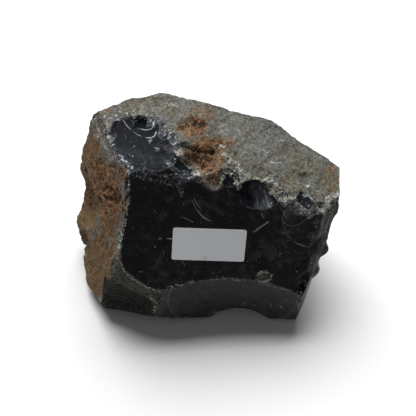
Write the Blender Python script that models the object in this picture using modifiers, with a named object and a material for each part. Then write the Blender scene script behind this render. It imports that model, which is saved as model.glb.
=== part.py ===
"""A palm-sized chunk of raw obsidian with a small paper label stuck on its front glass.

Real sizes are in millimetres from the stone's heart, a point inside it 41 mm above the floor.
A fracture is a flat break: azimuth from the front towards the right, elevation, distance, skin.
A scar is a hollow left by a struck flake, one patch of a sphere: azimuth, elevation and distance
of the sphere's centre, then its radius. A swell or a pit is a place on the surface by azimuth and
elevation, with its radius and its height or depth.
"""

import math

import bmesh
import bpy
import numpy as np
from mathutils import Matrix, Vector, noise

MM = 0.001

HEART = (3.35, 4.016, 41.0)

FRACTURES = {
    "front_glass": (3.5, 34.6, 34.0, "glass"),
    "top_rind": (70.6, 70.2, 48.4, "rind"),
    "top_left_rind": (-108.4, 82.7, 56.1, "rind"),
    "left_rind": (-68.5, 22.0, 56.6, "rind"),
    "upper_left_bevel": (-22.5, 31.3, 49.4, "glass"),
    "lower_left_bevel": (-9.5, 22.0, 45.5, "glass"),
    "low_bevel": (-2.7, 20.6, 43.0, "glass"),
    "right_glass": (47.4, 20.2, 61.0, "glass"),
    "lower_front": (0.9, 10.7, 44.4, "glass"),
    "lower_left": (-14.7, 13.8, 50.1, "glass"),
    "back_right_rim": (147.7, 13.6, 50.2, "rind"),
    "back_rim": (166.6, 16.4, 45.1, "rind"),
    "back_left_rim": (-159.5, 9.5, 56.7, "rind"),
    "back_middle_rim": (-175.8, 7.3, 46.4, "rind"),
    "left_corner": (-121.0, 24.0, 80.5, "rind"),
    "left_back": (-127.3, 3.1, 71.7, "rind"),
    "left_waist": (-124.6, -14.5, 66.9, "rind"),
    "left_foot": (-102.7, -33.1, 74.0, "rind"),
    "right_end": (87.7, -13.0, 60.6, "glass"),
    "right_knob": (77.6, -6.7, 66.6, "glass"),
    "right_foot": (73.6, -4.6, 66.8, "glass"),
    "lower_left_corner": (-58.3, -11.3, 79.0, "glass"),
    "under_front": (-1.4, -37.2, 62.6, "glass"),
    "lower_right_corner": (60.7, 2.1, 67.0, "glass"),
    "under_left": (-9.7, -36.0, 64.0, "glass"),
    "back": (176.0, -4.0, 41.0, "glass"),
    "back_right": (140.0, -8.0, 49.0, "glass"),
    "back_left": (-150.0, -10.0, 55.0, "rind"),
    "under_back": (170.0, -46.0, 54.0, "glass"),
    "under_right": (90.0, -42.0, 62.0, "glass"),
    "under_left_end": (-97.0, -50.0, 68.2, "rind"),
    "under_back_right": (130.0, -44.0, 60.0, "glass"),
    "under_back_left": (-140.0, -44.0, 61.0, "rind"),
    "base": (0.0, -90.0, 41.0, "flat"),
}

SCARS = {
    "top_left_scar": (-106.4, 63.5, 96.6, 38.2),
    "top_left_lobe": (-84.7, 72.3, 82.4, 26.6),
    "lower_front_scar": (5.0, 2.3, 177.1, 135.0),
    "lower_left_scar": (-25.5, 0.1, 150.2, 95.0),
    "front_right_scar": (35.3, 34.5, 124.8, 80.0),
    "left_hollow": (-90.4, 2.6, 84.5, 24.2),
    "rust_step": (-20.1, 84.8, 62.5, 14.0),
    "tongue_flake": (-49.1, 77.9, 58.0, 9.0),
    "ridge_nick": (48.0, 73.6, 53.1, 8.0),
    "ridge_notch": (54.1, 53.8, 56.1, 14.0),
    "ridge_flake": (69.6, 46.0, 58.3, 7.0),
    "ridge_chip": (70.0, 34.6, 64.1, 8.0),
    "ridge_end_chip": (73.3, 28.6, 71.2, 7.0),
    "top_right_notch": (87.8, 36.5, 64.5, 6.0),
    "right_edge_chip": (58.9, 14.7, 76.9, 16.0),
    "knob_chip": (56.9, 0.5, 74.7, 7.5),
    "mirror_chip": (44.4, 3.2, 81.8, 22.0),
    "left_nick": (-80.4, -15.7, 78.8, 9.4),
    "foot_bite": (9.5, -30.8, 72.4, 17.0),
    "back_edge_nick": (133.0, 55.5, 67.6, 9.6),
    "back_shell": (170.0, 4.0, 105.0, 69.0),
    "back_low_shell": (152.0, -26.0, 97.0, 50.0),
    "right_shell": (104.0, -6.0, 113.0, 57.0),
    "left_shell": (-112.0, -34.0, 112.0, 47.0),
    "under_shell": (2.0, -54.0, 108.0, 47.5),
}
RIND_SCARS = ("left_hollow", "rust_step", "left_nick", "back_edge_nick", "left_shell")

SWELLS = {
    "back_hump": (-151.0, 51.7, 14.0, 1.5),
    "back_right_hump": (130.0, 47.1, 9.0, 1.4),
    "corner_hump": (-117.2, 29.9, 9.0, 0.9),
    "left_foot_hump": (-65.1, -23.6, 10.0, 1.6),
    "waist_hump": (79.6, 17.1, 7.0, 1.4),
    "high_knob": (66.7, 2.6, 5.2, 2.6),
    "low_knob": (60.6, -7.9, 6.4, 2.0),
    "rust_tongue": (16.6, 79.6, 8.0, 1.6),
}

PITS = {
    "rust_pit": (-161.5, 70.9, 5.0, 2.4),
    "rust_pit_left": (-140.1, 67.9, 3.6, 1.4),
    "overhang_left": (-106.7, 78.3, 4.4, 1.8),
    "overhang": (-137.8, 83.5, 5.0, 1.6),
    "overhang_right": (160.8, 84.9, 4.4, 1.8),
    "left_rust_high": (-98.6, 22.3, 4.6, 1.4),
    "left_rust_pit": (-87.1, 27.3, 5.0, 1.8),
    "left_rust_low": (-78.3, 30.1, 5.4, 1.8),
    "left_pit": (-104.1, 9.6, 4.0, 1.6),
    "left_grey_pit": (-91.7, -9.5, 5.0, 1.4),
}

SKIN_SIZE = 3.2
RIND_DEPTH = 2.5
RIND_BROAD = (9.0, 1.0)
RIND_FINE = (4.5, 0.55)
GLASS_WAVE = (16.0, 0.25)
RIDGE_GAP = 1.0

LABEL_SIZE = (38.0, 19.0)
LABEL_THICKNESS = 0.4
LABEL_CORNER = 1.2
LABEL_CORNER_STEPS = 6
LABEL_GAP = 0.3
LABEL_FROM_FOOT = (-1.34, -3.79)
LABEL_ROLL = -5.8

ORIGIN_SIDE = 200.0
TOLERANCE = 1e-5


def clear_scene():
    for item in list(bpy.data.objects):
        bpy.data.objects.remove(item, do_unlink=True)


def direction(azimuth, elevation):
    a = math.radians(azimuth)
    e = math.radians(elevation)
    return np.array([math.sin(a) * math.cos(e), -math.cos(a) * math.cos(e), math.sin(e)])


def face_table():
    normals = np.array([direction(row[0], row[1]) for row in FRACTURES.values()])
    distances = np.array([row[2] for row in FRACTURES.values()])
    return normals, distances


def scar_table():
    centres = np.array([direction(row[0], row[1]) * row[2] for row in SCARS.values()])
    radii = np.array([row[3] for row in SCARS.values()])
    return centres, radii


def face_reaches(ways):
    """Distance from the heart to each flat break along each way."""
    normals, distances = face_table()
    along = ways @ normals.T
    return np.where(along > 1e-6, distances / np.maximum(along, 1e-6), 1e6)


def scar_reaches(ways):
    """Distance from the heart to the near wall of each scar along each way."""
    centres, radii = scar_table()
    along = ways @ centres.T
    inside = along**2 - (np.sum(centres**2, axis=1) - radii**2)
    near = along - np.sqrt(np.maximum(inside, 0.0))
    return np.where((inside > 0) & (near > 0), near, 1e6)


def surface(ways):
    """Distance from the heart to the broken surface, and which break or scar is there."""
    every = np.concatenate([face_reaches(ways), scar_reaches(ways)], axis=1)
    kind = np.argmin(every, axis=1)
    return every[np.arange(len(ways)), kind], kind


def unit_rows(points):
    return points / np.linalg.norm(points, axis=1)[:, None]


def rough_block():
    """A plain block with every flat break cut off it."""
    bpy.ops.mesh.primitive_cube_add(size=ORIGIN_SIDE * MM)
    stone = bpy.context.active_object
    shape = bmesh.new()
    shape.from_mesh(stone.data)
    for azimuth, elevation, distance, _ in FRACTURES.values():
        normal = Vector(direction(azimuth, elevation))
        parts = shape.verts[:] + shape.edges[:] + shape.faces[:]
        cut = bmesh.ops.bisect_plane(
            shape,
            geom=parts,
            plane_co=normal * distance * MM,
            plane_no=normal,
            clear_outer=True,
        )
        rim = [item for item in cut["geom_cut"] if isinstance(item, bmesh.types.BMEdge)]
        if rim:
            bmesh.ops.edgeloop_fill(shape, edges=rim)
    bmesh.ops.recalc_face_normals(shape, faces=shape.faces[:])
    shape.to_mesh(stone.data)
    shape.free()
    return stone


def even_skin(stone):
    """The block's surface as an even net of small faces."""
    net = stone.modifiers.new("even_skin", "REMESH")
    net.mode = "VOXEL"
    net.voxel_size = SKIN_SIZE * MM
    net.adaptivity = 0.0
    graph = bpy.context.evaluated_depsgraph_get()
    mesh = bpy.data.meshes.new_from_object(stone.evaluated_get(graph))
    stone.modifiers.remove(net)
    stone.data = mesh


def mesh_points(mesh):
    flat = np.zeros(len(mesh.vertices) * 3)
    mesh.vertices.foreach_get("co", flat)
    return flat.reshape(-1, 3) / MM


def put_points(mesh, points):
    mesh.vertices.foreach_set("co", (points * MM).reshape(-1))
    mesh.update()


def mesh_edges(mesh):
    flat = np.zeros(len(mesh.edges) * 2, dtype=np.int64)
    mesh.edges.foreach_get("vertices", flat)
    return flat.reshape(-1, 2)


def projected(points):
    ways = unit_rows(points)
    reach, kind = surface(ways)
    return ways * reach[:, None], kind


def ridge_crossings(points, kinds, edges):
    """For every net edge that crosses a ridge: how far along, and the place."""
    across = edges[kinds[edges[:, 0]] != kinds[edges[:, 1]]]
    low = np.zeros(len(across))
    high = np.ones(len(across))
    start = points[across[:, 0]]
    end = points[across[:, 1]]
    home = kinds[across[:, 0]]
    for _ in range(14):
        middle = (low + high) / 2
        place = start + (end - start) * middle[:, None]
        same = surface(unit_rows(place))[1] == home
        low = np.where(same, middle, low)
        high = np.where(same, high, middle)
    share = (low + high) / 2
    place = start + (end - start) * share[:, None]
    return across, share, projected(place)[0]


def neighbours_of(count, edges):
    near = [[] for _ in range(count)]
    for a, b in edges:
        near[a].append(b)
        near[b].append(a)
    return near


def snap_to_ridges(points, kinds, edges):
    """The nearer end of each crossing edge moves onto the ridge, so breaks meet in clean lines."""
    across, share, places = ridge_crossings(points, kinds, edges)
    nearer = np.where(share <= 0.5, across[:, 0], across[:, 1])
    moved = np.linalg.norm(points[nearer] - places, axis=1)
    near = neighbours_of(len(points), edges)
    settled = set()
    for row in np.argsort(moved):
        a, b = int(across[row][0]), int(across[row][1])
        if a in settled or b in settled:
            continue
        mine = int(nearer[row])
        beside = [other for other in near[mine] if other in settled]
        gaps = [np.linalg.norm(points[other] - places[row]) for other in beside]
        if gaps and min(gaps) < RIDGE_GAP:
            continue
        points[mine] = places[row]
        settled.add(mine)
    return points


def skin_weights(points):
    """How far each point lies inside the rind, 0 on a ridge or on glass and 1 well inside."""
    ways = unit_rows(points)
    every = np.concatenate([face_reaches(ways), scar_reaches(ways)], axis=1)
    is_rind = [row[3] == "rind" for row in FRACTURES.values()]
    is_rind = np.array(is_rind + [name in RIND_SCARS for name in SCARS])
    margin = every[:, ~is_rind].min(axis=1) - every[:, is_rind].min(axis=1)
    share = np.clip(margin / RIND_DEPTH, 0.0, 1.0)
    return share * share * (3 - 2 * share)


def flat_weights(points):
    """0 on the front glass, so the label lies on a true plane, and on the base; 1 elsewhere."""
    ways = unit_rows(points)
    reach, _ = surface(ways)
    faces = face_reaches(ways)
    names = list(FRACTURES)
    still = np.minimum(faces[:, names.index("front_glass")], faces[:, names.index("base")])
    return np.clip((still - reach) / 2.0, 0.0, 1.0)


def wave(points, size, height, seed):
    shift = Vector((seed * 17.3, seed * 5.1, seed * 9.7))
    rows = [height * noise.noise(Vector(point) / size + shift) for point in points]
    return np.array(rows)


def domes(points, spots):
    """The height of the tallest round dome over each point, from rows like those of PITS."""
    tallest = np.zeros(len(points))
    for azimuth, elevation, radius, height in spots.values():
        way = direction(azimuth, elevation)[None, :]
        centre = way * surface(way)[0][0]
        away = np.linalg.norm(points - centre, axis=1) / radius
        tallest = np.maximum(tallest, height * np.clip(1 - away**2, 0.0, 1.0) ** 1.5)
    return tallest


def weathered(points):
    """Lumps and pits in the rind, and long shallow waves in the glass."""
    rind = skin_weights(points)
    free = flat_weights(points)
    lumps = wave(points, *RIND_BROAD, 1) + wave(points, *RIND_FINE, 2) - domes(points, PITS)
    rise = rind * lumps + (1 - rind) * wave(points, *GLASS_WAVE, 3) + domes(points, SWELLS)
    return points + unit_rows(points) * (rise * free)[:, None]


def split_along_ridges(mesh):
    """Each four-sided face is split along the diagonal that lies nearer the true surface."""
    shape = bmesh.new()
    shape.from_mesh(mesh)
    for face in [item for item in shape.faces if len(item.verts) == 4]:
        corners = list(face.verts)
        pairs = ((corners[0], corners[2]), (corners[1], corners[3]))
        middles = np.array([(a.co + b.co) / 2 / MM for a, b in pairs])
        reach, _ = surface(unit_rows(middles))
        away = np.abs(np.linalg.norm(middles, axis=1) - reach)
        chosen = pairs[int(np.argmin(away))]
        bmesh.utils.face_split(face, chosen[0], chosen[1])
    shape.to_mesh(mesh)
    shape.free()


def flatten_base(mesh, floor):
    """The net under the stone becomes one flat facet."""
    shape = bmesh.new()
    shape.from_mesh(mesh)
    for vertex in shape.verts:
        if abs(vertex.co.z - floor) < TOLERANCE:
            vertex.co.z = floor
    under = [face for face in shape.faces if all(v.co.z == floor for v in face.verts)]
    inner = [edge for edge in shape.edges if len(edge.link_faces) == 2]
    inner = [edge for edge in inner if all(face in under for face in edge.link_faces)]
    bmesh.ops.dissolve_edges(shape, edges=inner, use_verts=False)
    loose = [vertex for vertex in shape.verts if not vertex.link_faces]
    bmesh.ops.delete(shape, geom=loose, context="VERTS")
    bmesh.ops.recalc_face_normals(shape, faces=shape.faces[:])
    shape.to_mesh(mesh)
    shape.free()


def make_stone():
    stone = rough_block()
    even_skin(stone)
    mesh = stone.data
    points, kinds = projected(mesh_points(mesh))
    points = snap_to_ridges(points, kinds, mesh_edges(mesh))
    put_points(mesh, points)
    split_along_ridges(mesh)
    put_points(mesh, weathered(mesh_points(mesh)))
    flatten_base(mesh, -FRACTURES["base"][2] * MM)
    mesh.transform(Matrix.Translation(Vector(HEART) * MM))
    stone.name = "stone"
    mesh.name = "stone"
    return stone


def front_frame():
    """The front glass as a frame: right, up and outward, with the heart's foot on it."""
    azimuth, elevation, distance, _ = FRACTURES["front_glass"]
    outward = Vector(direction(azimuth, elevation))
    right = Vector((0, 0, 1)).cross(outward).normalized()
    up = outward.cross(right)
    foot = outward * distance + Vector(HEART)
    return right, up, outward, foot


def make_label():
    bpy.ops.mesh.primitive_cube_add(size=1.0)
    label = bpy.context.active_object
    shape = bmesh.new()
    shape.from_mesh(label.data)
    width, height = LABEL_SIZE
    size = Vector((width, height, LABEL_THICKNESS)) * MM
    bmesh.ops.scale(shape, vec=size, verts=shape.verts[:])
    upright = []
    for edge in shape.edges:
        span = edge.verts[0].co - edge.verts[1].co
        if abs(span.z) > LABEL_THICKNESS * MM * 0.5:
            upright.append(edge)
    bmesh.ops.bevel(
        shape,
        geom=upright,
        offset=LABEL_CORNER * MM,
        segments=LABEL_CORNER_STEPS,
        profile=0.5,
        affect="EDGES",
    )
    right, up, outward, foot = front_frame()
    centre = foot + right * LABEL_FROM_FOOT[0] + up * LABEL_FROM_FOOT[1]
    centre += outward * (LABEL_GAP + LABEL_THICKNESS / 2)
    turn = Matrix((right, up, outward)).transposed().to_4x4()
    roll = Matrix.Rotation(math.radians(LABEL_ROLL), 4, "Z")
    bmesh.ops.transform(
        shape,
        matrix=Matrix.Translation(centre * MM) @ turn @ roll,
        verts=shape.verts[:],
    )
    bmesh.ops.recalc_face_normals(shape, faces=shape.faces[:])
    shape.to_mesh(label.data)
    shape.free()
    label.name = "label"
    label.data.name = "label"
    return label


def plain_material(name, colour, roughness):
    material = bpy.data.materials.new(name)
    material.use_nodes = True
    surface_node = material.node_tree.nodes["Principled BSDF"]
    surface_node.inputs["Base Color"].default_value = (*colour, 1.0)
    surface_node.inputs["Roughness"].default_value = roughness
    material.diffuse_color = (*colour, 1.0)
    return material


def dress(part, name, colour, roughness):
    part.data.materials.clear()
    part.data.materials.append(plain_material(name, colour, roughness))


def gather(parts):
    chunk = bpy.data.collections.new("obsidian_chunk")
    bpy.context.scene.collection.children.link(chunk)
    for part in parts:
        for home in list(part.users_collection):
            home.objects.unlink(part)
        chunk.objects.link(part)


clear_scene()
stone = make_stone()
label = make_label()
dress(stone, "obsidian_glass", (0.02, 0.02, 0.022), 0.25)
dress(label, "label_paper", (0.62, 0.62, 0.66), 0.7)
gather((stone, label))
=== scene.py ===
"""A palm-sized chunk of raw obsidian with a small bare paper label on its front glass."""

import math

import bmesh
import bpy
import numpy as np
from mathutils import Matrix, Vector, noise


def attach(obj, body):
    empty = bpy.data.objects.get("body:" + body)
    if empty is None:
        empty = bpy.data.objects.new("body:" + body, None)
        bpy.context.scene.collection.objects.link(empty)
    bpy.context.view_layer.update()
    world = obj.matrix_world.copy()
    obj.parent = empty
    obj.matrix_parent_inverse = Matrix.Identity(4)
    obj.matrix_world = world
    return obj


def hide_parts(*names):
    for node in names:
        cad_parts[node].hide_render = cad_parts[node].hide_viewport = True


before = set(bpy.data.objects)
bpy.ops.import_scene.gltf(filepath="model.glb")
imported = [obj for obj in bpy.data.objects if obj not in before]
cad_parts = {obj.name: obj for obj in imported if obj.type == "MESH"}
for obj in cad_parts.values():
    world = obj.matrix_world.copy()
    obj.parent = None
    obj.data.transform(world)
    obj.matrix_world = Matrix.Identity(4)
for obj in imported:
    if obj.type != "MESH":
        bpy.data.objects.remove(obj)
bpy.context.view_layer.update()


# The camera looks down on the front of the stone from above, level and centred, from 440 mm off.
# Lengths on the stone are millimetres from its heart, a point inside it 41 mm above the floor.

MM = 0.001
HEART = np.array([3.35, 4.016, 41.0])
PHOTO_SIDE = 416
SENSOR = 36.0
FOCAL_PIXELS = 795.0
CAMERA_ELEVATION = math.radians(62.0)
CAMERA_DISTANCE = 440.0
CLIP_START = 0.01
CLIP_END = 20.0

BACK = np.array([0.0, -math.cos(CAMERA_ELEVATION), math.sin(CAMERA_ELEVATION)])
RIGHT = np.array([1.0, 0.0, 0.0])
UP = np.array([0.0, math.sin(CAMERA_ELEVATION), math.cos(CAMERA_ELEVATION)])
EYE = BACK * CAMERA_DISTANCE

lens = bpy.data.cameras.new("camera")
lens.sensor_width = SENSOR
lens.lens = FOCAL_PIXELS / PHOTO_SIDE * SENSOR
lens.clip_start = CLIP_START
lens.clip_end = CLIP_END
camera = bpy.data.objects.new("camera", lens)
camera.location = (HEART + EYE) * MM
camera.rotation_euler = (math.pi / 2 - CAMERA_ELEVATION, 0.0, 0.0)
bpy.context.scene.collection.objects.link(camera)
bpy.context.scene.camera = camera


# The floor is a plain pale sweep. One large soft light stands high behind the stone and a little
# to its left, so the front glass lies in shade and the shadow falls forward; the room is dim.

FLOOR_SIDE = 8.0
FLOOR_COLOUR = (0.88, 0.88, 0.88, 1.0)
FLOOR_ROUGHNESS = 0.95
FLOOR_SHINE = 0.1
ROOM_COLOUR = (1.0, 1.0, 1.0, 1.0)
ROOM_STRENGTH = 0.108
SOFTBOX_DISTANCE = 2.1
SOFTBOX_BEHIND = math.radians(36.0)
SOFTBOX_LEFT = math.radians(6.0)
SOFTBOX_WIDTH = 1.9
SOFTBOX_DEPTH = 1.15
SOFTBOX_POWER = 72.5


def link(item):
    bpy.context.scene.collection.objects.link(item)
    return item


def new_material(name):
    material = bpy.data.materials.new(name)
    material.use_nodes = True
    return material, material.node_tree


def make_floor():
    bpy.ops.mesh.primitive_plane_add(size=FLOOR_SIDE)
    floor = bpy.context.active_object
    floor.name = "floor"
    material, tree = new_material("pale_floor")
    shader = tree.nodes["Principled BSDF"]
    shader.inputs["Base Color"].default_value = FLOOR_COLOUR
    shader.inputs["Roughness"].default_value = FLOOR_ROUGHNESS
    shader.inputs["Specular IOR Level"].default_value = FLOOR_SHINE
    floor.data.materials.append(material)
    return floor


def make_softbox():
    light = bpy.data.lights.new("softbox", "AREA")
    light.shape = "ELLIPSE"
    light.size = SOFTBOX_WIDTH
    light.size_y = SOFTBOX_DEPTH
    light.energy = SOFTBOX_POWER
    softbox = link(bpy.data.objects.new("softbox", light))
    away = Vector((-math.tan(SOFTBOX_LEFT), math.tan(SOFTBOX_BEHIND), 1.0)).normalized()
    softbox.location = away * SOFTBOX_DISTANCE
    softbox.rotation_euler = away.to_track_quat("Z", "Y").to_euler()


def light_room():
    world = bpy.data.worlds.new("room")
    world.use_nodes = True
    shell = world.node_tree.nodes["Background"]
    shell.inputs["Color"].default_value = ROOM_COLOUR
    shell.inputs["Strength"].default_value = ROOM_STRENGTH
    bpy.context.scene.world = world
    bpy.context.scene.view_settings.view_transform = "Standard"


make_floor()
make_softbox()
light_room()


# The stone is one chunk of volcanic glass. Its flat faces are breaks, its hollows are scars left by
# flakes struck off it, and a grey-brown weathered rind covers its top, left and back.

# A flat break: azimuth from the front towards the right, elevation, distance and skin.
FRACTURES = {
    "front_glass": (3.5, 34.6, 34.0, "glass"),
    "top_rind": (70.6, 70.2, 48.4, "rind"),
    "top_left_rind": (-108.4, 82.7, 56.1, "rind"),
    "left_rind": (-68.5, 22.0, 56.6, "rind"),
    "upper_left_bevel": (-22.5, 31.3, 49.4, "glass"),
    "lower_left_bevel": (-9.5, 22.0, 45.5, "glass"),
    "low_bevel": (-2.7, 20.6, 43.0, "glass"),
    "right_glass": (47.4, 20.2, 61.0, "glass"),
    "lower_front": (0.9, 10.7, 44.4, "glass"),
    "lower_left": (-14.7, 13.8, 50.1, "glass"),
    "back_right_rim": (147.7, 13.6, 50.2, "rind"),
    "back_rim": (166.6, 16.4, 45.1, "rind"),
    "back_left_rim": (-159.5, 9.5, 56.7, "rind"),
    "back_middle_rim": (-175.8, 7.3, 46.4, "rind"),
    "left_corner": (-121.0, 24.0, 80.5, "rind"),
    "left_back": (-127.3, 3.1, 71.7, "rind"),
    "left_waist": (-124.6, -14.5, 66.9, "rind"),
    "left_foot": (-102.7, -33.1, 74.0, "rind"),
    "right_end": (87.7, -13.0, 60.6, "glass"),
    "right_knob": (77.6, -6.7, 66.6, "glass"),
    "right_foot": (73.6, -4.6, 66.8, "glass"),
    "lower_left_corner": (-58.3, -11.3, 79.0, "glass"),
    "under_front": (-1.4, -37.2, 62.6, "glass"),
    "lower_right_corner": (60.7, 2.1, 67.0, "glass"),
    "under_left": (-9.7, -36.0, 64.0, "glass"),
    "back": (176.0, -4.0, 41.0, "glass"),
    "back_right": (140.0, -8.0, 49.0, "glass"),
    "back_left": (-150.0, -10.0, 55.0, "rind"),
    "under_back": (170.0, -46.0, 54.0, "glass"),
    "under_right": (90.0, -42.0, 62.0, "glass"),
    "under_left_end": (-97.0, -50.0, 68.2, "rind"),
    "under_back_right": (130.0, -44.0, 60.0, "glass"),
    "under_back_left": (-140.0, -44.0, 61.0, "rind"),
    "base": (0.0, -90.0, 41.0, "flat"),
}

# A scar is the near wall of a ball: its centre's azimuth, elevation and distance, and its radius.
SCARS = {
    "top_left_scar": (-106.4, 63.5, 96.6, 38.2),
    "top_left_lobe": (-84.7, 72.3, 82.4, 26.6),
    "lower_front_scar": (5.0, 2.3, 177.1, 135.0),
    "lower_left_scar": (-25.5, 0.1, 150.2, 95.0),
    "front_right_scar": (35.3, 34.5, 124.8, 80.0),
    "left_hollow": (-90.4, 2.6, 84.5, 24.2),
    "rust_step": (-20.1, 84.8, 62.5, 14.0),
    "tongue_flake": (-49.1, 77.9, 58.0, 9.0),
    "ridge_nick": (48.0, 73.6, 53.1, 8.0),
    "ridge_notch": (54.1, 53.8, 56.1, 14.0),
    "ridge_flake": (69.6, 46.0, 58.3, 7.0),
    "ridge_chip": (70.0, 34.6, 64.1, 8.0),
    "ridge_end_chip": (73.3, 28.6, 71.2, 7.0),
    "top_right_notch": (87.8, 36.5, 64.5, 6.0),
    "right_edge_chip": (58.9, 14.7, 76.9, 16.0),
    "knob_chip": (56.9, 0.5, 74.7, 7.5),
    "mirror_chip": (44.4, 3.2, 82.6, 22.0),
    "left_nick": (-80.4, -15.7, 78.8, 9.4),
    "foot_bite": (13.8, -30.8, 82.9, 26.0),
    "back_edge_nick": (133.0, 55.5, 67.6, 9.6),
    "back_shell": (170.0, 4.0, 105.0, 69.0),
    "back_low_shell": (152.0, -26.0, 97.0, 50.0),
    "right_shell": (104.0, -6.0, 113.0, 57.0),
    "left_shell": (-112.0, -34.0, 112.0, 47.0),
    "under_shell": (2.0, -54.0, 108.0, 47.5),
}
RIND_SCARS = "left_hollow rust_step left_nick back_edge_nick left_shell top_right_notch".split()

# Places on the surface: azimuth, elevation, radius and height.
SWELLS = {
    "back_hump": (-151.0, 51.7, 14.0, 1.5),
    "back_right_hump": (130.0, 47.1, 9.0, 1.4),
    "corner_hump": (-117.2, 29.9, 9.0, 0.9),
    "left_foot_hump": (-65.1, -23.6, 10.0, 1.6),
    "waist_hump": (79.6, 17.1, 7.0, 1.4),
    "high_knob": (66.7, 2.6, 5.2, 2.6),
    "low_knob": (60.6, -7.9, 6.4, 2.0),
    "rust_tongue": (16.6, 79.6, 8.0, 1.6),
}
SWELL_POWER = 1.5

# Small chips seen along the ridges: the pixel of the photograph, the ball's radius and the depth.
CHIPS = {
    "tongue_left": (179.5, 149.0, 5.0, 0.9),
    "notch_right": (270.0, 188.0, 4.0, 0.8),
    "flake_right": (292.0, 203.0, 4.0, 0.8),
    "chip_right": (314.0, 212.0, 4.0, 0.8),
    "end_right": (332.0, 202.0, 4.0, 0.8),
    "bevel_top": (113.0, 262.0, 5.0, 0.7),
    "bevel_end": (158.0, 296.0, 6.0, 0.7),
    "foot_left": (118.0, 311.0, 5.0, 0.6),
    "foot_middle": (186.0, 316.0, 5.0, 0.6),
    "foot_right": (282.0, 319.0, 6.0, 0.8),
    "scar_rim_left": (112.0, 136.0, 4.0, 0.7),
    "scar_rim_back": (150.0, 121.0, 5.0, 0.8),
    "scar_rim_right": (163.0, 133.0, 6.0, 0.9),
    "scar_rim_low": (172.0, 147.0, 5.0, 0.9),
    "dark_pocket": (141.0, 122.0, 4.6, 1.8),
}
CHIP_BLEND = 1.0

# Stray chips: how many, out of how many tries, how near a ridge, and how far they turn from the
# camera, with the least and greatest radius and share of it that is the depth.
STRAY_CHIPS = 60
STRAY_TRIES = 9000
STRAY_GAP = 0.5
STRAY_FACING = 0.1
STRAY_RADII = (2.0, 5.5)
STRAY_DEPTHS = (0.06, 0.16)

# Where each flake was struck, in pixels of the photograph, with the spacing and height of the
# ripples that spread from the blow. On the hidden sides the place is an azimuth and elevation.
RIPPLES = {
    "top_left_scar": (143.0, 112.0, 3.6, 0.15),
    "lower_left_scar": (120.0, 318.0, 3.2, 0.11),
    "lower_front_scar": (236.0, 345.0, 7.0, 0.09),
    "front_right_scar": (324.0, 214.0, 5.5, 0.08),
    "ridge_notch": (262.0, 178.0, 1.9, 0.13),
    "knob_chip": (317.0, 272.0, 1.9, 0.25),
    "mirror_chip": (312.0, 292.0, 4.5, 0.04),
}
HIDDEN_RIPPLES = {
    "back_shell": (172.0, 38.0, 6.0, 0.2),
    "back_low_shell": (150.0, -48.0, 4.5, 0.16),
    "right_shell": (100.0, 30.0, 4.8, 0.18),
    "under_shell": (2.0, -40.0, 5.0, 0.15),
}

SKIN_SIZE = 0.8

# Layers of rises and falls: the size of the humps and their height.
RIND_LUMPS = ((9.0, 0.9), (4.5, 0.5), (2.0, 0.26))
GLASS_WAVES = ((16.0, 0.25), (6.0, 0.05))
RAGGED = ((5.0, 0.9), (2.2, 0.4))
CHIP_RAGGEDNESS = 0.6
PIT_EDGES = ((3.0, 0.55), (1.3, 0.4))
RIPPLE_WOBBLE = (9.0, 0.5)
RIPPLE_REACH = 6
RIND_POCKS = (3.4, 0.42, 0.5)
RAGGED_SCARS = (
    "top_left_lobe tongue_flake ridge_notch ridge_nick ridge_flake ridge_chip ridge_end_chip "
    "top_right_notch knob_chip foot_bite right_edge_chip mirror_chip left_nick"
).split()
GROOVED = "right_glass right_end right_knob right_foot right_edge_chip".split()
GROOVE_SIZE = (1.5, 1.5, 22.0)
GROOVE_HEIGHT = 0.45

# The label lies on flat glass: within the first distance of its middle nothing rises, and past
# the second everything does.
LABEL_PIXEL = (208.0, 245.0)
LABEL_CLEARANCE = (20.0, 30.0)
BASE_CLEARANCE = 3.0
FAR = 1e6
TINY = 1e-6
LEAST_FALL = 1e-4
SEEDS = {
    "lumps": 1, "waves": 11, "stray": 11, "ragged": 21, "grooves": 23, "ripples": 31, "pits": 41,
    "crumbs": 51, "grain": 55, "fray": 61, "splinters": 63, "bands": 91, "tan": 95,
}


def direction(azimuth, elevation):
    a = math.radians(azimuth)
    e = math.radians(elevation)
    return np.array([math.sin(a) * math.cos(e), -math.cos(a) * math.cos(e), math.sin(e)])


FACE_WAYS = np.array([direction(row[0], row[1]) for row in FRACTURES.values()])
FACE_DISTANCES = np.array([row[2] for row in FRACTURES.values()])
SCAR_CENTRES = np.array([direction(row[0], row[1]) * row[2] for row in SCARS.values()])
SCAR_RADII = np.array([row[3] for row in SCARS.values()])


def unit_rows(points):
    return points / np.linalg.norm(points, axis=1)[:, None]


def ball_reaches(ways, centres, radii):
    """Distance from the heart to the near wall of each ball along each way."""
    along = ways @ centres.T
    inside = along**2 - (np.sum(centres**2, axis=1) - radii**2)
    near = along - np.sqrt(np.maximum(inside, 0.0))
    return np.where((inside > 0) & (near > 0), near, FAR)


def plain_reaches(ways):
    """Distance from the heart to each break and scar along each way, before any wear."""
    along = ways @ FACE_WAYS.T
    faces = np.where(along > TINY, FACE_DISTANCES / np.maximum(along, TINY), FAR)
    return np.concatenate([faces, ball_reaches(ways, SCAR_CENTRES, SCAR_RADII)], axis=1)


# A ray from the camera meets the stone between the first distance and the second, and is followed
# in steps of the third.
RAY_STEPS = (340.0, 520.0, 0.4)


def photo_ray(u, v):
    way = -BACK + RIGHT * (u - PHOTO_SIDE / 2) / FOCAL_PIXELS
    way = way + UP * (PHOTO_SIDE / 2 - v) / FOCAL_PIXELS
    return way / np.linalg.norm(way)


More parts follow.
